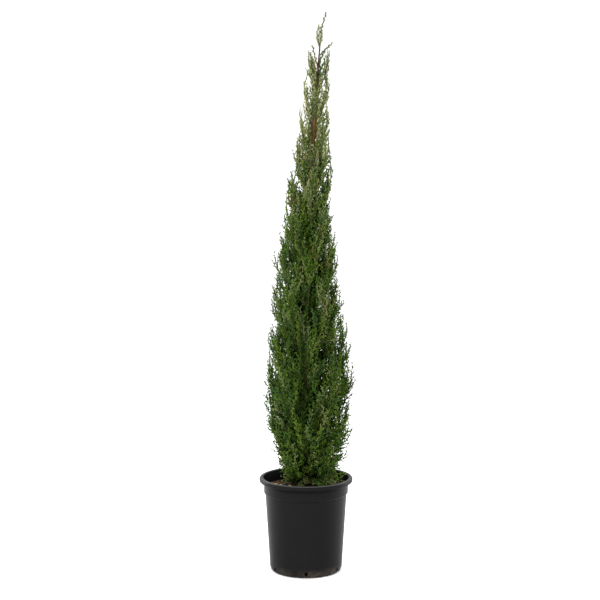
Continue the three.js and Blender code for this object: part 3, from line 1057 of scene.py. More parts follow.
def tones_of(plume, parents, points, place, keys):
    """Darker inside the crown and in the clefts, which is painted shade, and lighter towards the shoots'
    tips. The airy outer shoots and the top are painted lighter, which is painted light. Some are never
    lightest: the inner ones, as painted shade, and those of the tip.
    """
    height = points[:, 2]
    x, y = from_trunk(points)
    bearing = np.arctan2(y, x)
    luck = lerp(plume.luck(keys, Draw.TWIGLET_TONE), plume.luck(parents.keys, Draw.TONE), SHOOT_TONE_SHARE)
    # Painted light: the airy outer shoots are a step lighter.
    luck = luck + AIRY_LIGHT * parents.is_airy
    # Painted shade: darker towards the inside of the crown.
    light = SHARE_LIGHT * crown_share(points) + PLACE_LIGHT * place + LUCK_LIGHT * luck
    # Painted light: lighter towards the top.
    light += TOP_LIGHT * np.clip(height / TRUNK_TOP, 0, 1) ** TOP_POWER
    # The clefts darken the foliage as painted shade.
    light += STREAK_LIGHT * streak(bearing, height) - CLEFT_SHADE_DEPTH * cleft_shade(bearing, height)
    tones = (light > TONE_LIMITS[0]).astype(int) + (light > TONE_LIMITS[1])
    # Painted shade: the inner shoots are never lightest.
    return np.where(parents.is_inner | plume.is_tip, np.minimum(tones, 1), tones)


# Twiglets and branchlets. A spacing, thickness or length with no unit is a share of the usual one.

SHOOT_STATIONS = 5
SHOOT_TAPER = (1.5, 0.8)
TWIGLET_KEYS = 40
TWIGLET_PLACES = (0.05, 0.97)
TWIGLET_SHIFT = 0.8
TWIGLET_SIZES = (1, 0.8, 0.6, 0.4)
TWIGLET_SPREAD = 0.66
TWIGLET_TURN = 2.4
TWIGLET_FLATNESS = 0.8
TWIGLET_CURL = 0.4
TWIGLET_BEND = 0.7
TWIGLET_TAPER = (1.1, 0.95, 0)
TWIST = 1.4
FACE_RISE = 0.2
SPRAY_WIDTH = 0.32
LONGEST_TWIGLETS = (5.5 * MM, 14 * MM)
FOOT_LENGTH = 0.55
LENGTH_RISE = 1.2
LENGTH_FALL = 0.6
LENGTH_LUCK = (0.7, 1.2)
SHORTEST_TWIGLET = 4.5 * MM
LENS_TWIGLETS = (4.5 * MM, 2 * MM)
LONG_TWIGLETS = (6 * MM, 4.5 * MM)
INNER_LENGTH = 1.8
AIRY_SPACING = 1.1
INNER_SPACING = 1.6
THIN_SPACING = 1.15
LENS_SPACING = 1.3
LONG_SPACING = 0.85
THICKNESS = (1.5, 0.95)
INNER_THICKNESS = 2.8
THIN_THICKNESS = 1.2
LENS_THICKNESS = 0.9
LONG_THICKNESS = 1.3
BRANCHLET_SPREAD = 0.72
BRANCHLET_SHARES = np.array([0.27, 0.5, 0.74])
BRANCHLET_SHIFT = 0.08
BRANCHLET_SIZES = (1.15, 0.55)
BRANCHLET_SHARE = 0.5
BRANCHLET_TURNS = (0.6, 1.2)
BRANCHLET_CURL = 0.3
BRANCHLET_BEND = 0.62
BRANCHLET_THICKNESS = 1.1
SHORTEST_BRANCHLET = 3.4 * MM
AIRY_BRANCHLETS = 2


@dataclass
class Twiglets(Rows):
    """Bent twiglets, what their branchlets keep to, and their looks."""

    roots: np.ndarray
    middles: np.ndarray
    tips: np.ndarray
    tangents: np.ndarray
    lengths: np.ndarray
    keys: np.ndarray
    furthest: np.ndarray
    crossing: np.ndarray
    is_airy: np.ndarray
    sizes: np.ndarray
    finishes: np.ndarray


def twiglet_spacing(plume, parents):
    if plume.is_tip:
        return np.where(parents.is_long, LONG_SPACING, LENS_SPACING)
    spacing = np.where(parents.is_inner, INNER_SPACING, np.where(parents.is_airy, AIRY_SPACING, 1))
    return spacing * (THIN_SPACING if plume.is_thin else 1)


def twiglet_lengths(plume, parents, place, keys):
    """The lengths that twiglets would like to have: longest in the lower half of their shoot."""
    if plume.is_tip:
        return np.where(parents.is_long, lerp(*LONG_TWIGLETS, place), lerp(*LENS_TWIGLETS, place))
    envelope = np.minimum(1, FOOT_LENGTH + LENGTH_RISE * place) * (1 - place) ** LENGTH_FALL
    luck = lerp(*LENGTH_LUCK, plume.luck(keys, Draw.TWIGLET_LENGTH))
    wanted = parents.lengths * SPRAY_WIDTH * envelope * luck
    longest = lerp(*LONGEST_TWIGLETS, plume.radius / BOUGH_RADIUS)
    return np.clip(wanted, SHORTEST_TWIGLET, longest) * np.where(parents.is_inner, INNER_LENGTH, 1)


def twiglet_thickness(plume, parents, middles):
    if plume.is_tip:
        return np.where(parents.is_long, LONG_THICKNESS, LENS_THICKNESS)
    outer = lerp(*THICKNESS, np.clip(crown_share(middles), 0, 1))
    return np.where(parents.is_inner, INNER_THICKNESS, outer) * (THIN_THICKNESS if plume.is_thin else 1)


def grow_twiglets(plume, shoots, families, crown, thicket):
    """Twiglets along the shoots. Those of the outer shoots are given back, to bear branchlets."""
    which, step = pairs(len(shoots.keys), int(np.max(shoots.lengths) / crown.twiglet_gap))
    parents = shoots[which]
    keys = parents.keys * TWIGLET_KEYS + step
    gap = crown.twiglet_gap * twiglet_spacing(plume, parents)
    shift = TWIGLET_SHIFT * (plume.luck(keys, Draw.TWIGLET_PLACE) - 0.5)
    place = (step + 0.5 + shift) * gap / parents.lengths
    there = (place > TWIGLET_PLACES[0]) & (place < TWIGLET_PLACES[1])
    parents, families, step, keys, place = kept(there, parents, families[which], step, keys, place)

    roots, tangents = parents.point(place), parents.tangent(place)
    facing = plume.bearing + TWIST * (plume.luck(parents.keys, Draw.FACE) - 0.5)
    turn = step * TWIGLET_TURN + FULL_TURN * plume.luck(parents.keys, Draw.TWIGLET_TURN)
    out = around(tangents, turn, outward_at(facing) + FACE_RISE * UP, TWIGLET_FLATNESS)
    spread = TWIGLET_SPREAD * varied(0.2, plume.luck(keys, Draw.TWIGLET_SPREAD))
    along = unit(swung(tangents, out, spread))
    wanted = twiglet_lengths(plume, parents, place, keys)
    furthest, crossing = parents.furthest + REACH_SLACK, parents.crossing(plume)
    lengths = fitted(plume, roots, along, wanted, furthest, TWIGLET_SIZES, crossing)

    grown = lengths > 0
    parents, families, keys, place = kept(grown, parents, families, keys, place)
    roots, along, tangents, lengths = kept(grown, roots, along, tangents, lengths)
    middles = roots + along * (TWIGLET_BEND * lengths)[:, None]
    tips = roots + unit(along + TWIGLET_CURL * tangents) * lengths[:, None]
    sizes = twiglet_thickness(plume, parents, middles)
    finishes = families * TONES + tones_of(plume, parents, middles, place, keys)
    radii = sizes[:, None] * (crown.twig_radius * np.array(TWIGLET_TAPER))
    thicket.add_cords(np.stack([roots, middles, tips], axis=1), radii, 3, finishes)
    limits = (*kept(grown, furthest, crossing), parents.is_airy)
    twiglets = Twiglets(roots, middles, tips, tangents, lengths, keys, *limits, sizes, finishes)
    return twiglets[~parents.is_inner]


def grow_branchlets(plume, twiglets, crown, thicket):
    """Branchlets clad in scale leaves, along the twiglets."""
    which, number = pairs(len(twiglets.keys), len(BRANCHLET_SHARES))
    parents = twiglets[which]
    keys = parents.keys * len(BRANCHLET_SHARES) + number
    share = BRANCHLET_SHARES[number] + BRANCHLET_SHIFT * (plume.luck(keys, Draw.BRANCHLET_PLACE) - 0.5)
    roots = lerp(parents.roots, parents.middles, np.minimum(share / TWIGLET_BEND, 1)[:, None])
    axis = unit(parents.tips - parents.roots)
    step, twist = BRANCHLET_TURNS
    turn = math.pi * (number % 2) + twist * (plume.luck(keys, Draw.BRANCHLET_TURN) - 0.5) + step * number
    spread = BRANCHLET_SPREAD * varied(0.25, plume.luck(keys, Draw.BRANCHLET_SPREAD))
    along = unit(swung(axis, around(axis, turn, parents.tangents), spread))
    luck = varied(0.25, plume.luck(keys, Draw.BRANCHLET_LENGTH))
    lengths = parents.lengths * BRANCHLET_SHARE * lerp(*BRANCHLET_SIZES, share) * luck
    lengths = np.maximum(lengths, SHORTEST_BRANCHLET)
    tips = roots + unit(along + BRANCHLET_CURL * axis) * lengths[:, None]
    grown = inside_plume(plume, tips, parents.furthest + REACH_SLACK, parents.crossing)
    grown &= ~parents.is_airy | (number < AIRY_BRANCHLETS)
    parents, roots, along, lengths, tips = kept(grown, parents, roots, along, lengths, tips)
    middles = roots + along * (BRANCHLET_BEND * lengths)[:, None]
    radii = BRANCHLET_THICKNESS * crown.twig_radius * parents.sizes
    thicket.add_spindles(roots, middles, tips, radii, parents.finishes)


def grow_foliage(plume, crown, thicket):
    """The green axis of each shoot, its twiglets and, below the thin top, their branchlets."""
    shoots = lay_out_shoots(plume, crown)
    families = shade_family(plume, shoots)
    paths = shoots.paths(np.linspace(0, 1, SHOOT_STATIONS))
    radii = crown.twig_radius * np.linspace(*SHOOT_TAPER, SHOOT_STATIONS)
    thicket.add_cords(paths, radii, 3, families * TONES)
    twiglets = grow_twiglets(plume, shoots, families, crown, thicket)
    if not plume.is_thin:
        grow_branchlets(plume, twiglets, crown, thicket)


# Stems. Each cord of the tip has its shade, its ends above the trunk's top and its radius.

TWIG_SHADES = ((54, 42, 26), (66, 54, 30), (82, 68, 38), (176, 164, 122))
STEM_SIDES = 6
STEM_STATIONS = 10
TIP_CORDS = ((0, -4 * MM, 16 * MM, 1.9 * MM), (3, 12 * MM, 37 * MM, 1.5 * MM))
WOODY_SHARE = 0.14
WOODY_TAPER = (1.9, 1.7, 0)


def grow_wood(plume, crown, thicket):
    """The plume's stem, brown from the trunk, and the brown feet of its shoots."""
    shares = np.linspace(plume.start, 1, STEM_STATIONS)
    if plume.is_tip:
        for shade, low, high, radius in TIP_CORDS:
            path = trunk_centre(TRUNK_TOP) + UP * lerp(low, high, shares)[:, None]
            thicket.add_cords(path[None], radius * (1 - 0.5 * shares), STEM_SIDES, [shade])
    else:
        path, radii = stem_point(plume, shares), stem_radius(plume, shares)
        thicket.add_cords(path[None], radii, STEM_SIDES, [plume.number % 2])
    shoots = lay_out_shoots(plume, crown)
    paths = shoots.paths(np.linspace(0, WOODY_SHARE, len(WOODY_TAPER)))
    finishes = 1 + (plume.luck(shoots.keys, Draw.WOOD) * 2).astype(int)
    thicket.add_cords(paths, crown.twig_radius * np.array(WOODY_TAPER), 3, finishes)


# Settings that a user may change

def colour_setting(name, description, default):
    kind = {"subtype": "COLOR", "min": 0, "max": 1}
    return FloatVectorProperty(name=name, description=description, default=default, **kind)


def length_setting(name, description, default):
    return FloatProperty(name=name, description=description, default=default, unit="LENGTH")


def power_setting(name, description, default):
    return FloatProperty(name=name, description=description, default=default, min=0, unit="POWER")


def count_setting(name, description, default, least):
    return IntProperty(name=name, description=description, default=default, min=least)


class CypressStageSettings(bpy.types.PropertyGroup):
    """The studio round the plant."""

    floor_colour: colour_setting("Floor", "Colour of the studio floor", (0.97, 0.97, 0.97))
    sky_light: FloatProperty(
        name="Sky light", description="Brightness of the white surroundings", default=1.2, min=0,
    )
    key_power: power_setting("Key light", "Power of the large soft light at the front left", 85)
    strip_power: power_setting("Strip lights", "Power of the tall soft lights at the sides", 26)


class CypressPotSettings(bpy.types.PropertyGroup):
    """The nursery pot and its soil."""

    lip_width: length_setting("Lip width", "Width of the flat lip", 8 * MM)
    lip_height: length_setting("Lip height", "Height of the lip", 9.5 * MM)
    band_height: length_setting("Band height", "Height of the wider band under the lip", 25 * MM)
    wall: length_setting("Wall", "Thickness of the wall", 1.8 * MM)
    plastic: colour_setting("Plastic", "Colour of the pot", srgb(20, 20, 21))
    dust: colour_setting("Dust", "Colour of the dried mud near the foot", srgb(98, 88, 76))
    soil: colour_setting("Soil", "Colour of the soil", srgb(46, 36, 22))
    chips: count_setting("Chips", "Number of bark chips on the soil", 320, 0)


class CypressBarkSettings(bpy.types.PropertyGroup):
    """The trunk and boughs."""

    relief: length_setting("Relief", "Depth of the bark's furrows at the foot", 0.7 * MM)
    old_bark: colour_setting("Old bark", "Colour of the lower trunk", srgb(78, 58, 42))
    young_bark: colour_setting("Young bark", "Colour of the leader", srgb(114, 80, 42))


class CypressCrownSettings(bpy.types.PropertyGroup):
    """Twigs and scale leaves."""

    twig_radius: length_setting("Twig radius", "Radius of a branchlet clad in scale leaves", 0.85 * MM)
    twiglet_gap: length_setting("Twiglet gap", "Distance between twiglets along a shoot", 4.8 * MM)
    fineness: count_setting("Fineness", "Shoots for each spray of the solids", 3, 1)
    thin_fineness: count_setting("Fineness above", "The same in the thin upper crown", 2, 1)
    deep: colour_setting("Deep green", "Old dark foliage", srgb(40, 58, 16))
    leaf: colour_setting("Leaf green", "Most of the foliage", srgb(64, 88, 28))
    fresh: colour_setting("Fresh green", "Young yellow green foliage", srgb(84, 106, 36))
    cool: colour_setting("Cool green", "Foliage with a bluish bloom", srgb(58, 86, 40))
    grey: colour_setting("Grey green", "Foliage with a grey bloom", srgb(100, 112, 66))
    pale: colour_setting("Pale green", "The thin young foliage near the top", srgb(142, 147, 102))
    olive: colour_setting("Olive", "Yellowish foliage near the top", srgb(122, 122, 70))
    dry: colour_setting("Dry", "A few golden brown shoots", srgb(108, 96, 50))


# The stage

CAMERA_PLACE = (-0.0122, -4.0, 1.127)
CAMERA_DIP = 8.11
LENS = 120.6
SENSOR = 36
FLOOR_SIZE = 600
KEY_PLACE = (-1.9, -2.4, 2.6)
KEY_TARGET = (0, 0, 0.5)
KEY_SIZE = (3.2, 3.2)
STRIPS = ((-1.3, 0.75), (1.35, 0.55))
STRIP_HEIGHT = 0.75
STRIP_SIZE = (0.35, 1.5)


def soft_light(name, place, size, energy, target):
    light = bpy.data.lights.new(name, "AREA")
    light.shape = "RECTANGLE"
    light.size, light.size_y = size
    light.energy = energy
    lamp = stage_object(name, light)
    lamp.location = place
    lamp.rotation_euler = (Vector(target) - Vector(place)).to_track_quat("-Z", "Y").to_euler()


class CYPRESS_OT_stage(bpy.types.Operator):
    """Make the camera, the pale floor and the soft studio light"""

    bl_idname = "cypress.stage"
    bl_label = "Stage"

    def execute(self, context):
        scene = context.scene
        settings = scene.cypress_stage
        camera = bpy.data.cameras.new("camera")
        camera.lens = LENS
        camera.sensor_width = SENSOR
        scene.camera = stage_object("camera", camera)
        scene.camera.location = CAMERA_PLACE
        scene.camera.rotation_euler = (math.radians(90 - CAMERA_DIP), 0, 0)
        scene.view_settings.view_transform = "Standard"

        scene.world = bpy.data.worlds.new("studio")
        scene.world.use_nodes = True
        sky = scene.world.node_tree.nodes["Background"]
        sky.inputs["Color"].default_value = (1, 1, 1, 1)
        sky.inputs["Strength"].default_value = settings.sky_light

        half = FLOOR_SIZE / 2
        corners = [(-half, -half, 0), (half, -half, 0), (half, half, 0), (-half, half, 0)]
        mesh = plain_mesh("floor", corners, [(0, 1, 2, 3)])
        mesh.materials.append(plain_finish("floor_paint", settings.floor_colour, roughness=0.9))
        stage_object("floor", mesh)

        soft_light("key_light", KEY_PLACE, KEY_SIZE, settings.key_power, KEY_TARGET)
        for i, (x, y) in enumerate(STRIPS):
            place = (x, y, STRIP_HEIGHT)
            target = (0, 0, STRIP_HEIGHT)
            soft_light(f"strip_light_{i + 1}", place, STRIP_SIZE, settings.strip_power, target)
        return {"FINISHED"}


# The pot

POT_SEGMENTS = 144
BAND_RADIUS = 86 * MM
STEP_RADIUS = 85.6 * MM
STEP_HEIGHT = 3 * MM
WALL_TOP_RADIUS = 82.8 * MM
WALL_FOOT_RADIUS = 73.4 * MM
FOOT_RADIUS = 66 * MM
CORNER_HEIGHT = 10 * MM
CORNER_ROUND = 2.5 * MM
FLOOR_THICKNESS = 3 * MM
DRAIN_HOLES = 6
DRAIN_SIDES = 20
DRAIN_LENGTH = 20 * MM
DRAIN_RADIUS = 3.5 * MM
DRAIN_STRETCH = 1.3
DRAIN_HEIGHT = 9.5 * MM
BLACK = (0.002, 0.002, 0.002)


def pot_outline(pot):
    """The pot's section from the middle of its underside, up outside, over the lip and down inside."""
    lip_foot = POT_HEIGHT - pot.lip_height
    wall_top = lip_foot - pot.band_height
    step_top = wall_top + STEP_HEIGHT
    lip_inner = POT_RIM_RADIUS - pot.lip_width
    return rounded([
        (0, 0, 0),
        (FOOT_RADIUS, 0, 1.5 * MM),
        (FOOT_RADIUS + 2 * CORNER_ROUND, CORNER_ROUND, 2 * MM),
        (WALL_FOOT_RADIUS, CORNER_HEIGHT, 6 * MM),
        (WALL_TOP_RADIUS, wall_top, 1.2 * MM),
        (STEP_RADIUS, step_top, 1.2 * MM),
        (BAND_RADIUS, lip_foot, 0.8 * MM),
        (POT_RIM_RADIUS - 0.3 * MM, lip_foot, 2.4 * MM),
        (POT_RIM_RADIUS, POT_HEIGHT, 3.4 * MM),
        (lip_inner + 2.4 * MM, POT_HEIGHT, 0.5 * MM),
        (lip_inner + 1.6 * MM, POT_HEIGHT - 1.2 * MM, 0.3 * MM),
        (lip_inner + 0.9 * MM, POT_HEIGHT - 0.4 * MM, 0.3 * MM),
        (lip_inner, POT_HEIGHT - 0.6 * MM, 0.4 * MM),
        (BAND_RADIUS - pot.wall, lip_foot, 2 * MM),
        (STEP_RADIUS - pot.wall, step_top, 1 * MM),
        (WALL_TOP_RADIUS - pot.wall, wall_top, 1 * MM),
        (WALL_FOOT_RADIUS - pot.wall, CORNER_HEIGHT, 2 * MM),
        (FOOT_RADIUS + FLOOR_THICKNESS, FLOOR_THICKNESS, 1 * MM),
        (0, FLOOR_THICKNESS, 0),
    ])


def drain_cutter():
    """Tall oval rods through the foot's corner, as one mesh."""
    points = []
    faces = []
    for out in outward_at(FRONT + turns(DRAIN_HOLES)):
        faces += stacked_faces(len(points), 2, DRAIN_SIDES)
        oval = swung(np.cross(UP, out), DRAIN_STRETCH * UP, turns(DRAIN_SIDES)) * DRAIN_RADIUS
        for end in (WALL_FOOT_RADIUS - DRAIN_LENGTH, WALL_FOOT_RADIUS + DRAIN_LENGTH):
            points.extend(end * out + DRAIN_HEIGHT * UP + oval)
    return stage_object("drain_cutter", plain_mesh("drain_cutter", points, faces))


def cut_away(piece, cutter):
    """Cuts the cutter's shape out of the piece's mesh, and removes the cutter."""
    cut = piece.modifiers.new("cut", "BOOLEAN")
    cut.object = cutter
    cut.solver = "EXACT"
    depsgraph = bpy.context.evaluated_depsgraph_get()
    piece.data = bpy.data.meshes.new_from_object(piece.evaluated_get(depsgraph))
    piece.modifiers.clear()
    bpy.data.objects.remove(cutter)


def plastic_finish(pot):
    """Moulded black plastic, scuffed a little, with a painted shadow under its lip, a painted highlight
    along the top of its lip, and dried mud round its foot.
    """
    finish = Finish("pot_plastic", Specular_IOR_Level=0.04)
    place = finish.place()
    height = finish.height(place)
    lip_foot = POT_HEIGHT - pot.lip_height
    cloud = finish.noise(place, scale=14, detail=4)
    scuffs = finish.noise(finish.stretched(place, (1, 1, 0.35)), scale=90, detail=5, roughness=0.7)
    scuff = finish.span(scuffs, 0.55, 0.8)
    grain = finish.noise(place, scale=900, detail=2)
    worn = tuple(value * 2.1 for value in pot.plastic)
    plastic = finish.mix(scuff * 0.35 + cloud * 0.2, tuple(pot.plastic), worn)
    # Painted shadow: the plastic turns nearly black in a band just under the lip.
    lip_shadow = finish.span(height, lip_foot - 9 * MM, lip_foot - 2 * MM)
    lip_shadow *= finish.span(height, lip_foot + 3 * MM, lip_foot + 0.5 * MM)
    plastic_with_lip_shadow = finish.mix(lip_shadow * 0.75, plastic, BLACK)
    foot = finish.span(height, 3 * MM, 22 * MM, 1, 0) * finish.span(cloud, 0.3, 0.65)
    splash = finish.span(finish.noise(place, scale=70, detail=4, roughness=0.65), 0.42, 0.7)
    mud = foot * (splash * 0.5 + 0.2)
    # Painted highlight: the top edge of the lip turns light grey, in patches.
    rim_highlight = finish.span(height, POT_HEIGHT - 1.4 * MM, POT_HEIGHT - 0.2 * MM) * (cloud * 0.4 + 0.25)
    finish.feed(
        Base_Color=finish.mix(rim_highlight, finish.mix(mud, plastic_with_lip_shadow, tuple(pot.dust)), srgb(104, 105, 106)),
        Roughness=scuff * 0.12 + mud * 0.4 + cloud * 0.08 + 0.34,
        Normal=finish.bump(grain * 0.5 + cloud * 0.5, depth=0.25 * MM, strength=0.35),
    )
    return finish.material


def shaded_dull_finish(pot):
    """The dull inside of the pot, its colour darkened towards black as painted shade in the hollow."""
    finish = Finish("pot_inside", Roughness=0.8, Specular_IOR_Level=0.02)
    cloud = finish.noise(finish.place(), scale=30, detail=3)
    # Painted shade: the inside is darker than the plastic outside.
    finish.feed(Base_Color=finish.mix(cloud, BLACK, tuple(pot.plastic)))
    return finish.material


def is_inside(points, face, pot):
    """Whether a face of the pot is one of its inner wall or floor."""
    x, y, z = np.mean([points[i] for i in face], axis=0)
    heights = (0, CORNER_HEIGHT, POT_HEIGHT - pot.lip_height, POT_HEIGHT)
    limits = (-1, WALL_FOOT_RADIUS, BAND_RADIUS, POT_RIM_RADIUS - pot.lip_width + pot.wall / 2)
    return math.hypot(x, y) < np.interp(z, heights, limits) - pot.wall / 2


class CYPRESS_OT_pot(bpy.types.Operator):
    """Make the moulded nursery pot"""

    bl_idname = "cypress.pot"
    bl_label = "Pot"

    def execute(self, context):
        pot = context.scene.cypress_pot
        points, faces = revolve(pot_outline(pot), POT_SEGMENTS)
        materials = [plastic_finish(pot), shaded_dull_finish(pot)]
        finishes = [is_inside(points, face, pot) for face in faces]
        piece = add_piece("nursery_pot", points, faces, materials, ["pot"], finishes)
        cut_away(piece, drain_cutter())
        crease(piece, degrees=35)
        return {"FINISHED"}


# The soil

SOIL_GAP = 0.3 * MM
DRAIN_DEPTH = 9 * MM
SOIL_EDGE_HEIGHT = 173 * MM
SOIL_FLAT_RADIUS = 18 * MM
SOIL_SHOULDER_RADIUS = 47 * MM
SOIL_SHOULDER_HEIGHT = 175.8 * MM
SOIL_RINGS = 44
SOIL_SEGMENTS = 120
CLOD_SIZE = 7 * MM
CLOD_DEPTH = 1.6 * MM
CLOD_SINK = 0.35
CRUMB_FINENESS = 2.7
CRUMB_SHARE = 0.5
LEVEL_SHARE = 0.6


def soil_edge(pot):
    return STEP_RADIUS - pot.wall - SOIL_GAP


def soil_height(radius, pot):
    radii = (SOIL_FLAT_RADIUS, SOIL_SHOULDER_RADIUS, soil_edge(pot))
    return np.interp(radius, radii, (SOIL_TOP, SOIL_SHOULDER_HEIGHT, SOIL_EDGE_HEIGHT))


def soil_relief(x, y):
    """Clods and crumbs on the soil, level at the foot of the trunk."""
    level = min(1, max(0, math.hypot(x, y) / SOIL_FLAT_RADIUS - LEVEL_SHARE))
    place = Vector((x, y, 0)) / CLOD_SIZE
    crumbs = CRUMB_SHARE * noise.noise(place * CRUMB_FINENESS)
    return CLOD_DEPTH * level * (noise.noise(place) + crumbs - CLOD_SINK)


def soil_finish(pot):
    """Dark soil with ground bark in it."""
    finish = Finish("soil_crumbs", Roughness=0.95, Specular_IOR_Level=0.25)
    place = finish.place()
    crumbs = finish.node("ShaderNodeTexVoronoi", {}, {"Vector": place, "Scale": 260})
    patches = finish.noise(place, scale=60, detail=4)
    dark = tuple(value * 0.35 for value in pot.soil)
    bark = tuple(value * factor for value, factor in zip(pot.soil, (2.6, 2.1, 1.6)))
    ground = finish.mix(finish.span(patches, 0.4, 0.7), dark, tuple(pot.soil))
    speckle = finish.span(finish.noise(place, scale=320, detail=3), 0.55, 0.72)
    finish.feed(
        Base_Color=finish.mix(speckle * 0.7, ground, bark),
        Normal=finish.bump(crumbs + patches * 0.5, depth=0.8 * MM, strength=0.9),
    )
    return finish.material


class CYPRESS_OT_soil(bpy.types.Operator):
    """Make the mound of soil in the pot"""

    bl_idname = "cypress.soil"
    bl_label = "Soil"

    def execute(self, context):
        pot = context.scene.cypress_pot
        inset = pot.wall + SOIL_GAP
        foot_radius = WALL_FOOT_RADIUS - pot.wall - DRAIN_DEPTH
        wall_top = POT_HEIGHT - pot.lip_height - pot.band_height
        radii = np.linspace(soil_edge(pot), 0, SOIL_RINGS)
        outline = [
            (0, SOIL_FOOT),
            (FOOT_RADIUS - DRAIN_DEPTH, SOIL_FOOT),
            (foot_radius, CORNER_HEIGHT),
            (foot_radius, 2 * CORNER_HEIGHT),
            (WALL_FOOT_RADIUS - inset, 3 * CORNER_HEIGHT),
            (WALL_TOP_RADIUS - inset, wall_top),
            (soil_edge(pot), wall_top + STEP_HEIGHT),
            *((radius, soil_height(radius, pot)) for radius in radii),
        ]
        points, faces = revolve(outline, SOIL_SEGMENTS)
        for point in points:
            if point[2] > wall_top + 2 * STEP_HEIGHT:
                point[2] += soil_relief(point[0], point[1])
        add_piece("soil_mound", points, faces, [soil_finish(pot)], ["soil"])
        return {"FINISHED"}


# Bark chips. Each ring of a chip has its height, as a share of the thickness, and its size.

CHIP_SHADES = ((132, 88, 44), (88, 58, 32), (186, 158, 112), (60, 46, 30))
CHIP_SHARES = (0.28, 0.6, 0.68)
CHIP_LENGTH = (4 * MM, 14 * MM)
CHIP_WIDTH = (0.25, 0.6)
CHIP_THICKNESS = (1.2 * MM, 2.8 * MM)
CHIP_CLEARING = 12.6 * MM
CHIP_LIFT = 0.35
CHIP_TURN = 6.3
CHIP_TILT = 0.5
CHIP_CORNERS = 7
CHIP_UNEVENNESS = 0.25
CHIP_DRAWS = 8
CHIP_RINGS = ((-0.5, 0.8), (0.1, 1), (0.5, 0.75))
CHIP_KEY = 200


class CYPRESS_OT_mulch(bpy.types.Operator):
    """Scatter bark chips over the soil"""

    bl_idname = "cypress.mulch"
    bl_label = "Bark mulch"

    def execute(self, context):
        pot = context.scene.cypress_pot
        points = []
        faces = []
        finishes = []
        for chip in range(pot.chips):
            chip_faces = stacked_faces(len(points), len(CHIP_RINGS), CHIP_CORNERS)
            shade = np.searchsorted(CHIP_SHARES, chance(CHIP_KEY, chip, CHIP_DRAWS))
            points.extend(self.chip_points(chip, pot))
            faces += chip_faces
            finishes += [shade] * len(chip_faces)
        shades = enumerate(CHIP_SHADES)
        materials = [plain_finish(f"chip_{i + 1}", srgb(*shade), roughness=0.9) for i, shade in shades]
        crease(add_piece("bark_mulch", points, faces, materials, finishes=finishes), degrees=30)
        return {"FINISHED"}

    @staticmethod
    def chip_points(chip, pot):
        """A flake of bark: an uneven outline, smaller above and below than at its middle."""
        luck = chance(CHIP_KEY, chip, np.arange(CHIP_DRAWS))
        out, bearing, long, wide, thick, turn, rise, roll = luck
        radius = lerp(CHIP_CLEARING, soil_edge(pot) - CHIP_LENGTH[1] / 2, math.sqrt(out))
        length = lerp(*CHIP_LENGTH, long**2)
        width = length * lerp(*CHIP_WIDTH, wide)
        thickness = lerp(*CHIP_THICKNESS, thick)
        x, y, _ = radius * outward_at(FULL_TURN * bearing)
        centre = (x, y, soil_height(radius, pot) + soil_relief(x, y) + CHIP_LIFT * thickness)
        along = unit(outward_at(CHIP_TURN * turn) + CHIP_TILT * (rise - 0.5) * UP)
        across = unit(np.cross((CHIP_TILT * (roll - 0.5), CHIP_TILT * (long - 0.5), 1), along))
        uneven = varied(CHIP_UNEVENNESS, chance(CHIP_KEY + 1, chip, np.arange(CHIP_CORNERS)))
        outline = swung(length / 2 * along, width / 2 * across, turns(CHIP_CORNERS)) * uneven[:, None]
        up = thickness * np.cross(along, across)
        return np.concatenate([centre + size * outline + lift * up for lift, size in CHIP_RINGS])


# The bark of the trunk and boughs

BARK_SIDES = 32
BARK_RINGS = 420
BOUGH_RINGS = 40
BOUGH_OVERLAP = 1.04
RING_POWER = 1.7
FLARE_LOBES = 5
LOBE_DEPTH = 0.14
FURROWS = 5.0
FURROW_LENGTH = 34 * MM
FURROW_FINENESS = 1.3
FURROW_DEPTH = 0.4
SHREDS = ((1, 1), (2.3, 0.6), (5.1, 0.3))


def bark_relief(turn, height):
    """Long shreds of bark, from -1 to 1, as a function of the turn round the limb."""
    place = Vector((FURROWS * math.cos(turn), FURROWS * math.sin(turn), height / FURROW_LENGTH))
    shreds = sum(depth * noise.noise(place * fineness) for fineness, depth in SHREDS)
    return shreds - FURROW_DEPTH * abs(noise.noise(place * FURROW_FINENESS))


def bark_limb(centres, radii, relief, lobes=0.0):
    """A limb with the bark's relief, closed at its foot and its tip."""
    tangents = unit(np.gradient(centres, axis=0))
    first = unit(np.cross(tangents, (0, 1, 0)))
    second = np.cross(tangents, first)
    points = []
    for ring, centre in enumerate(centres[:-1]):
        depth = relief * radii[ring] / TRUNK_FOOT_RADIUS
        for turn in turns(BARK_SIDES):
            swell = 1 + lobes * math.cos(FLARE_LOBES * turn) * float(flare_share(centre[2]))
            radius = radii[ring] * swell + depth * bark_relief(turn, centre[2])
            points.append(centre + radius * swung(first[ring], second[ring], turn))
    points.append(centres[-1])
    return np.array(points), cord_faces(len(centres) - 1, BARK_SIDES)


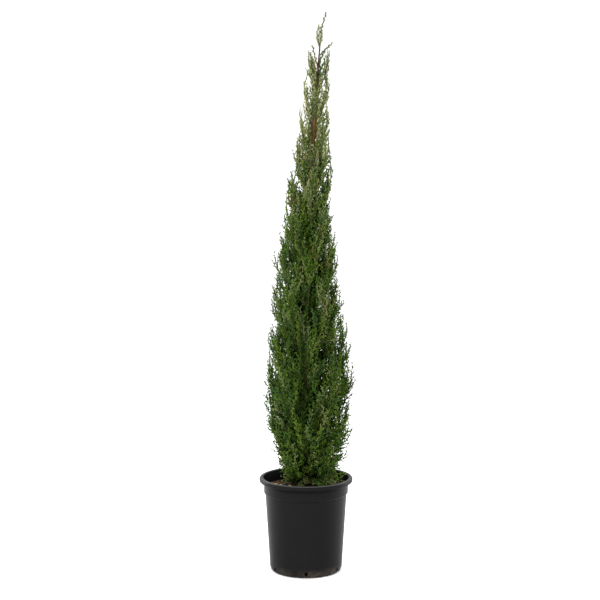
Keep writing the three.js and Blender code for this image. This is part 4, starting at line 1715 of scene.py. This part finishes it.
def bark_material(bark):
    """Fibrous bark: grey brown with dark furrows below, and red brown on the young leader."""
    made = bpy.data.materials.get("cypress_bark")
    if made:
        return made
    finish = Finish("cypress_bark", Roughness=0.9, Specular_IOR_Level=0.08)
    place = finish.place()
    height = finish.height(place)
    fibres = finish.noise(finish.stretched(place, (1, 1, 0.07)), scale=700, detail=5, roughness=0.7)
    shreds = finish.noise(finish.stretched(place, (1, 1, 0.12)), scale=260, detail=4, roughness=0.6)
    young = finish.span(height, 0.35, 0.85)
    leader = finish.span(height, 0.95, 1.01)
    base = finish.mix(young, tuple(bark.old_bark), tuple(bark.young_bark))
    dark = finish.mix(young, srgb(44, 32, 25), srgb(62, 48, 28))
    light = finish.mix(young, srgb(140, 118, 98), srgb(158, 126, 80))
    furrowed = finish.mix(finish.span(shreds, 0.35, 0.6), dark, base)
    fibrous = finish.mix(finish.span(fibres, 0.55, 0.75) * 0.6, furrowed, light)
    finish.feed(
        Base_Color=finish.mix(leader * 0.9, fibrous, srgb(50, 37, 25)),
        Normal=finish.bump(fibres * 0.5 + shreds, depth=0.5 * MM, strength=0.8),
    )
    return finish.material


class CYPRESS_OT_trunk(bpy.types.Operator):
    """Make the trunk with the relief of its bark"""

    bl_idname = "cypress.trunk"
    bl_label = "Trunk"

    def execute(self, context):
        bark = context.scene.cypress_bark
        heights = lerp(TRUNK_FOOT, TRUNK_TOP, np.linspace(0, 1, BARK_RINGS) ** RING_POWER)
        points, faces = bark_limb(trunk_centre(heights), trunk_radius(heights), bark.relief, LOBE_DEPTH)
        add_piece("trunk_bark", points, faces, [bark_material(bark)], ["trunk"])
        return {"FINISHED"}


class CYPRESS_OT_boughs(bpy.types.Operator):
    """Make the bare boughs of the widest tier"""

    bl_idname = "cypress.boughs"
    bl_label = "Boughs"

    def execute(self, context):
        bark = context.scene.cypress_bark
        for plume in PLUMES:
            if plume.tier == BOUGH_TIER:
                shares = np.linspace(0, plume.start * BOUGH_OVERLAP, BOUGH_RINGS)
                centres, radii = stem_point(plume, shares), stem_radius(plume, shares)
                points, faces = bark_limb(centres, radii, bark.relief)
                name, node = (plume.name.replace("plume", start) for start in ("bough_bark", "bough"))
                add_piece(name, points, faces, [bark_material(bark)], [node])
        return {"FINISHED"}


# The crown

class CYPRESS_OT_twigs(bpy.types.Operator):
    """Make the brown stems and the woody feet of the shoots"""

    bl_idname = "cypress.twigs"
    bl_label = "Twigs"

    def execute(self, context):
        thicket = Thicket()
        for plume in PLUMES:
            grow_wood(plume, context.scene.cypress_crown, thicket)
        shades = enumerate(TWIG_SHADES)
        materials = [plain_finish(f"twig_{i + 1}", srgb(*shade), roughness=0.8) for i, shade in shades]
        thicket.piece("plume_stems", materials, "bark", PLUME_NODES)
        return {"FINISHED"}


def foliage_materials(crown):
    """The tones of each family of greens, in the order of their numbers, from the settings. The tones are
    shaded and lit copies of each green, which carry painted shade and painted light.
    """
    made = []
    for family in FAMILIES:
        for tone, light in enumerate(TONE_LIGHT):
            shade = [value * light for value in getattr(crown, family)]
            name = f"leaf_{family}_{tone + 1}"
            made.append(plain_finish(name, shade, roughness=0.75, gloss=0.05))
    return made


class CYPRESS_OT_foliage(bpy.types.Operator):
    """Make the green shoots of every tier, clad in scale leaves"""

    bl_idname = "cypress.foliage"
    bl_label = "Foliage"

    def execute(self, context):
        crown = context.scene.cypress_crown
        materials = foliage_materials(crown)
        for tier in range(TIP_TIER + 1):
            thicket = Thicket()
            own = [plume for plume in PLUMES if plume.tier == tier]
            for plume in own:
                grow_foliage(plume, crown, thicket)
            name = "foliage_tip" if tier == TIP_TIER else f"foliage_tier_{tier + 1:02d}"
            thicket.piece(name, materials, "foliage", [plume.name for plume in own])
        return {"FINISHED"}


# The sidebar, and the order in which the pieces are made

OPERATORS = (
    CYPRESS_OT_stage,
    CYPRESS_OT_pot,
    CYPRESS_OT_soil,
    CYPRESS_OT_mulch,
    CYPRESS_OT_trunk,
    CYPRESS_OT_boughs,
    CYPRESS_OT_twigs,
    CYPRESS_OT_foliage,
)
SETTINGS = {
    "cypress_stage": CypressStageSettings,
    "cypress_pot": CypressPotSettings,
    "cypress_bark": CypressBarkSettings,
    "cypress_crown": CypressCrownSettings,
}


class CYPRESS_PT_sidebar(bpy.types.Panel):
    """Every piece of the plant, and its settings"""

    bl_idname = "CYPRESS_PT_sidebar"
    bl_label = "Potted cypress"
    bl_space_type = "VIEW_3D"
    bl_region_type = "UI"
    bl_category = "Cypress"

    def draw(self, context):
        for operator in OPERATORS:
            self.layout.operator(operator.bl_idname)
        for group, kind in SETTINGS.items():
            box = self.layout.box()
            for name in kind.__annotations__:
                box.prop(getattr(context.scene, group), name)


CLASSES = (*SETTINGS.values(), *OPERATORS, CYPRESS_PT_sidebar)


def register():
    for kind in CLASSES:
        bpy.utils.register_class(kind)
    for group, kind in SETTINGS.items():
        setattr(bpy.types.Scene, group, PointerProperty(type=kind))


def unregister():
    for group in SETTINGS:
        delattr(bpy.types.Scene, group)
    for kind in reversed(CLASSES):
        bpy.utils.unregister_class(kind)


def main():
    register()
    for operator in OPERATORS:
        group, name = operator.bl_idname.split(".")
        getattr(getattr(bpy.ops, group), name)()


if __name__ == "__main__":
    main()
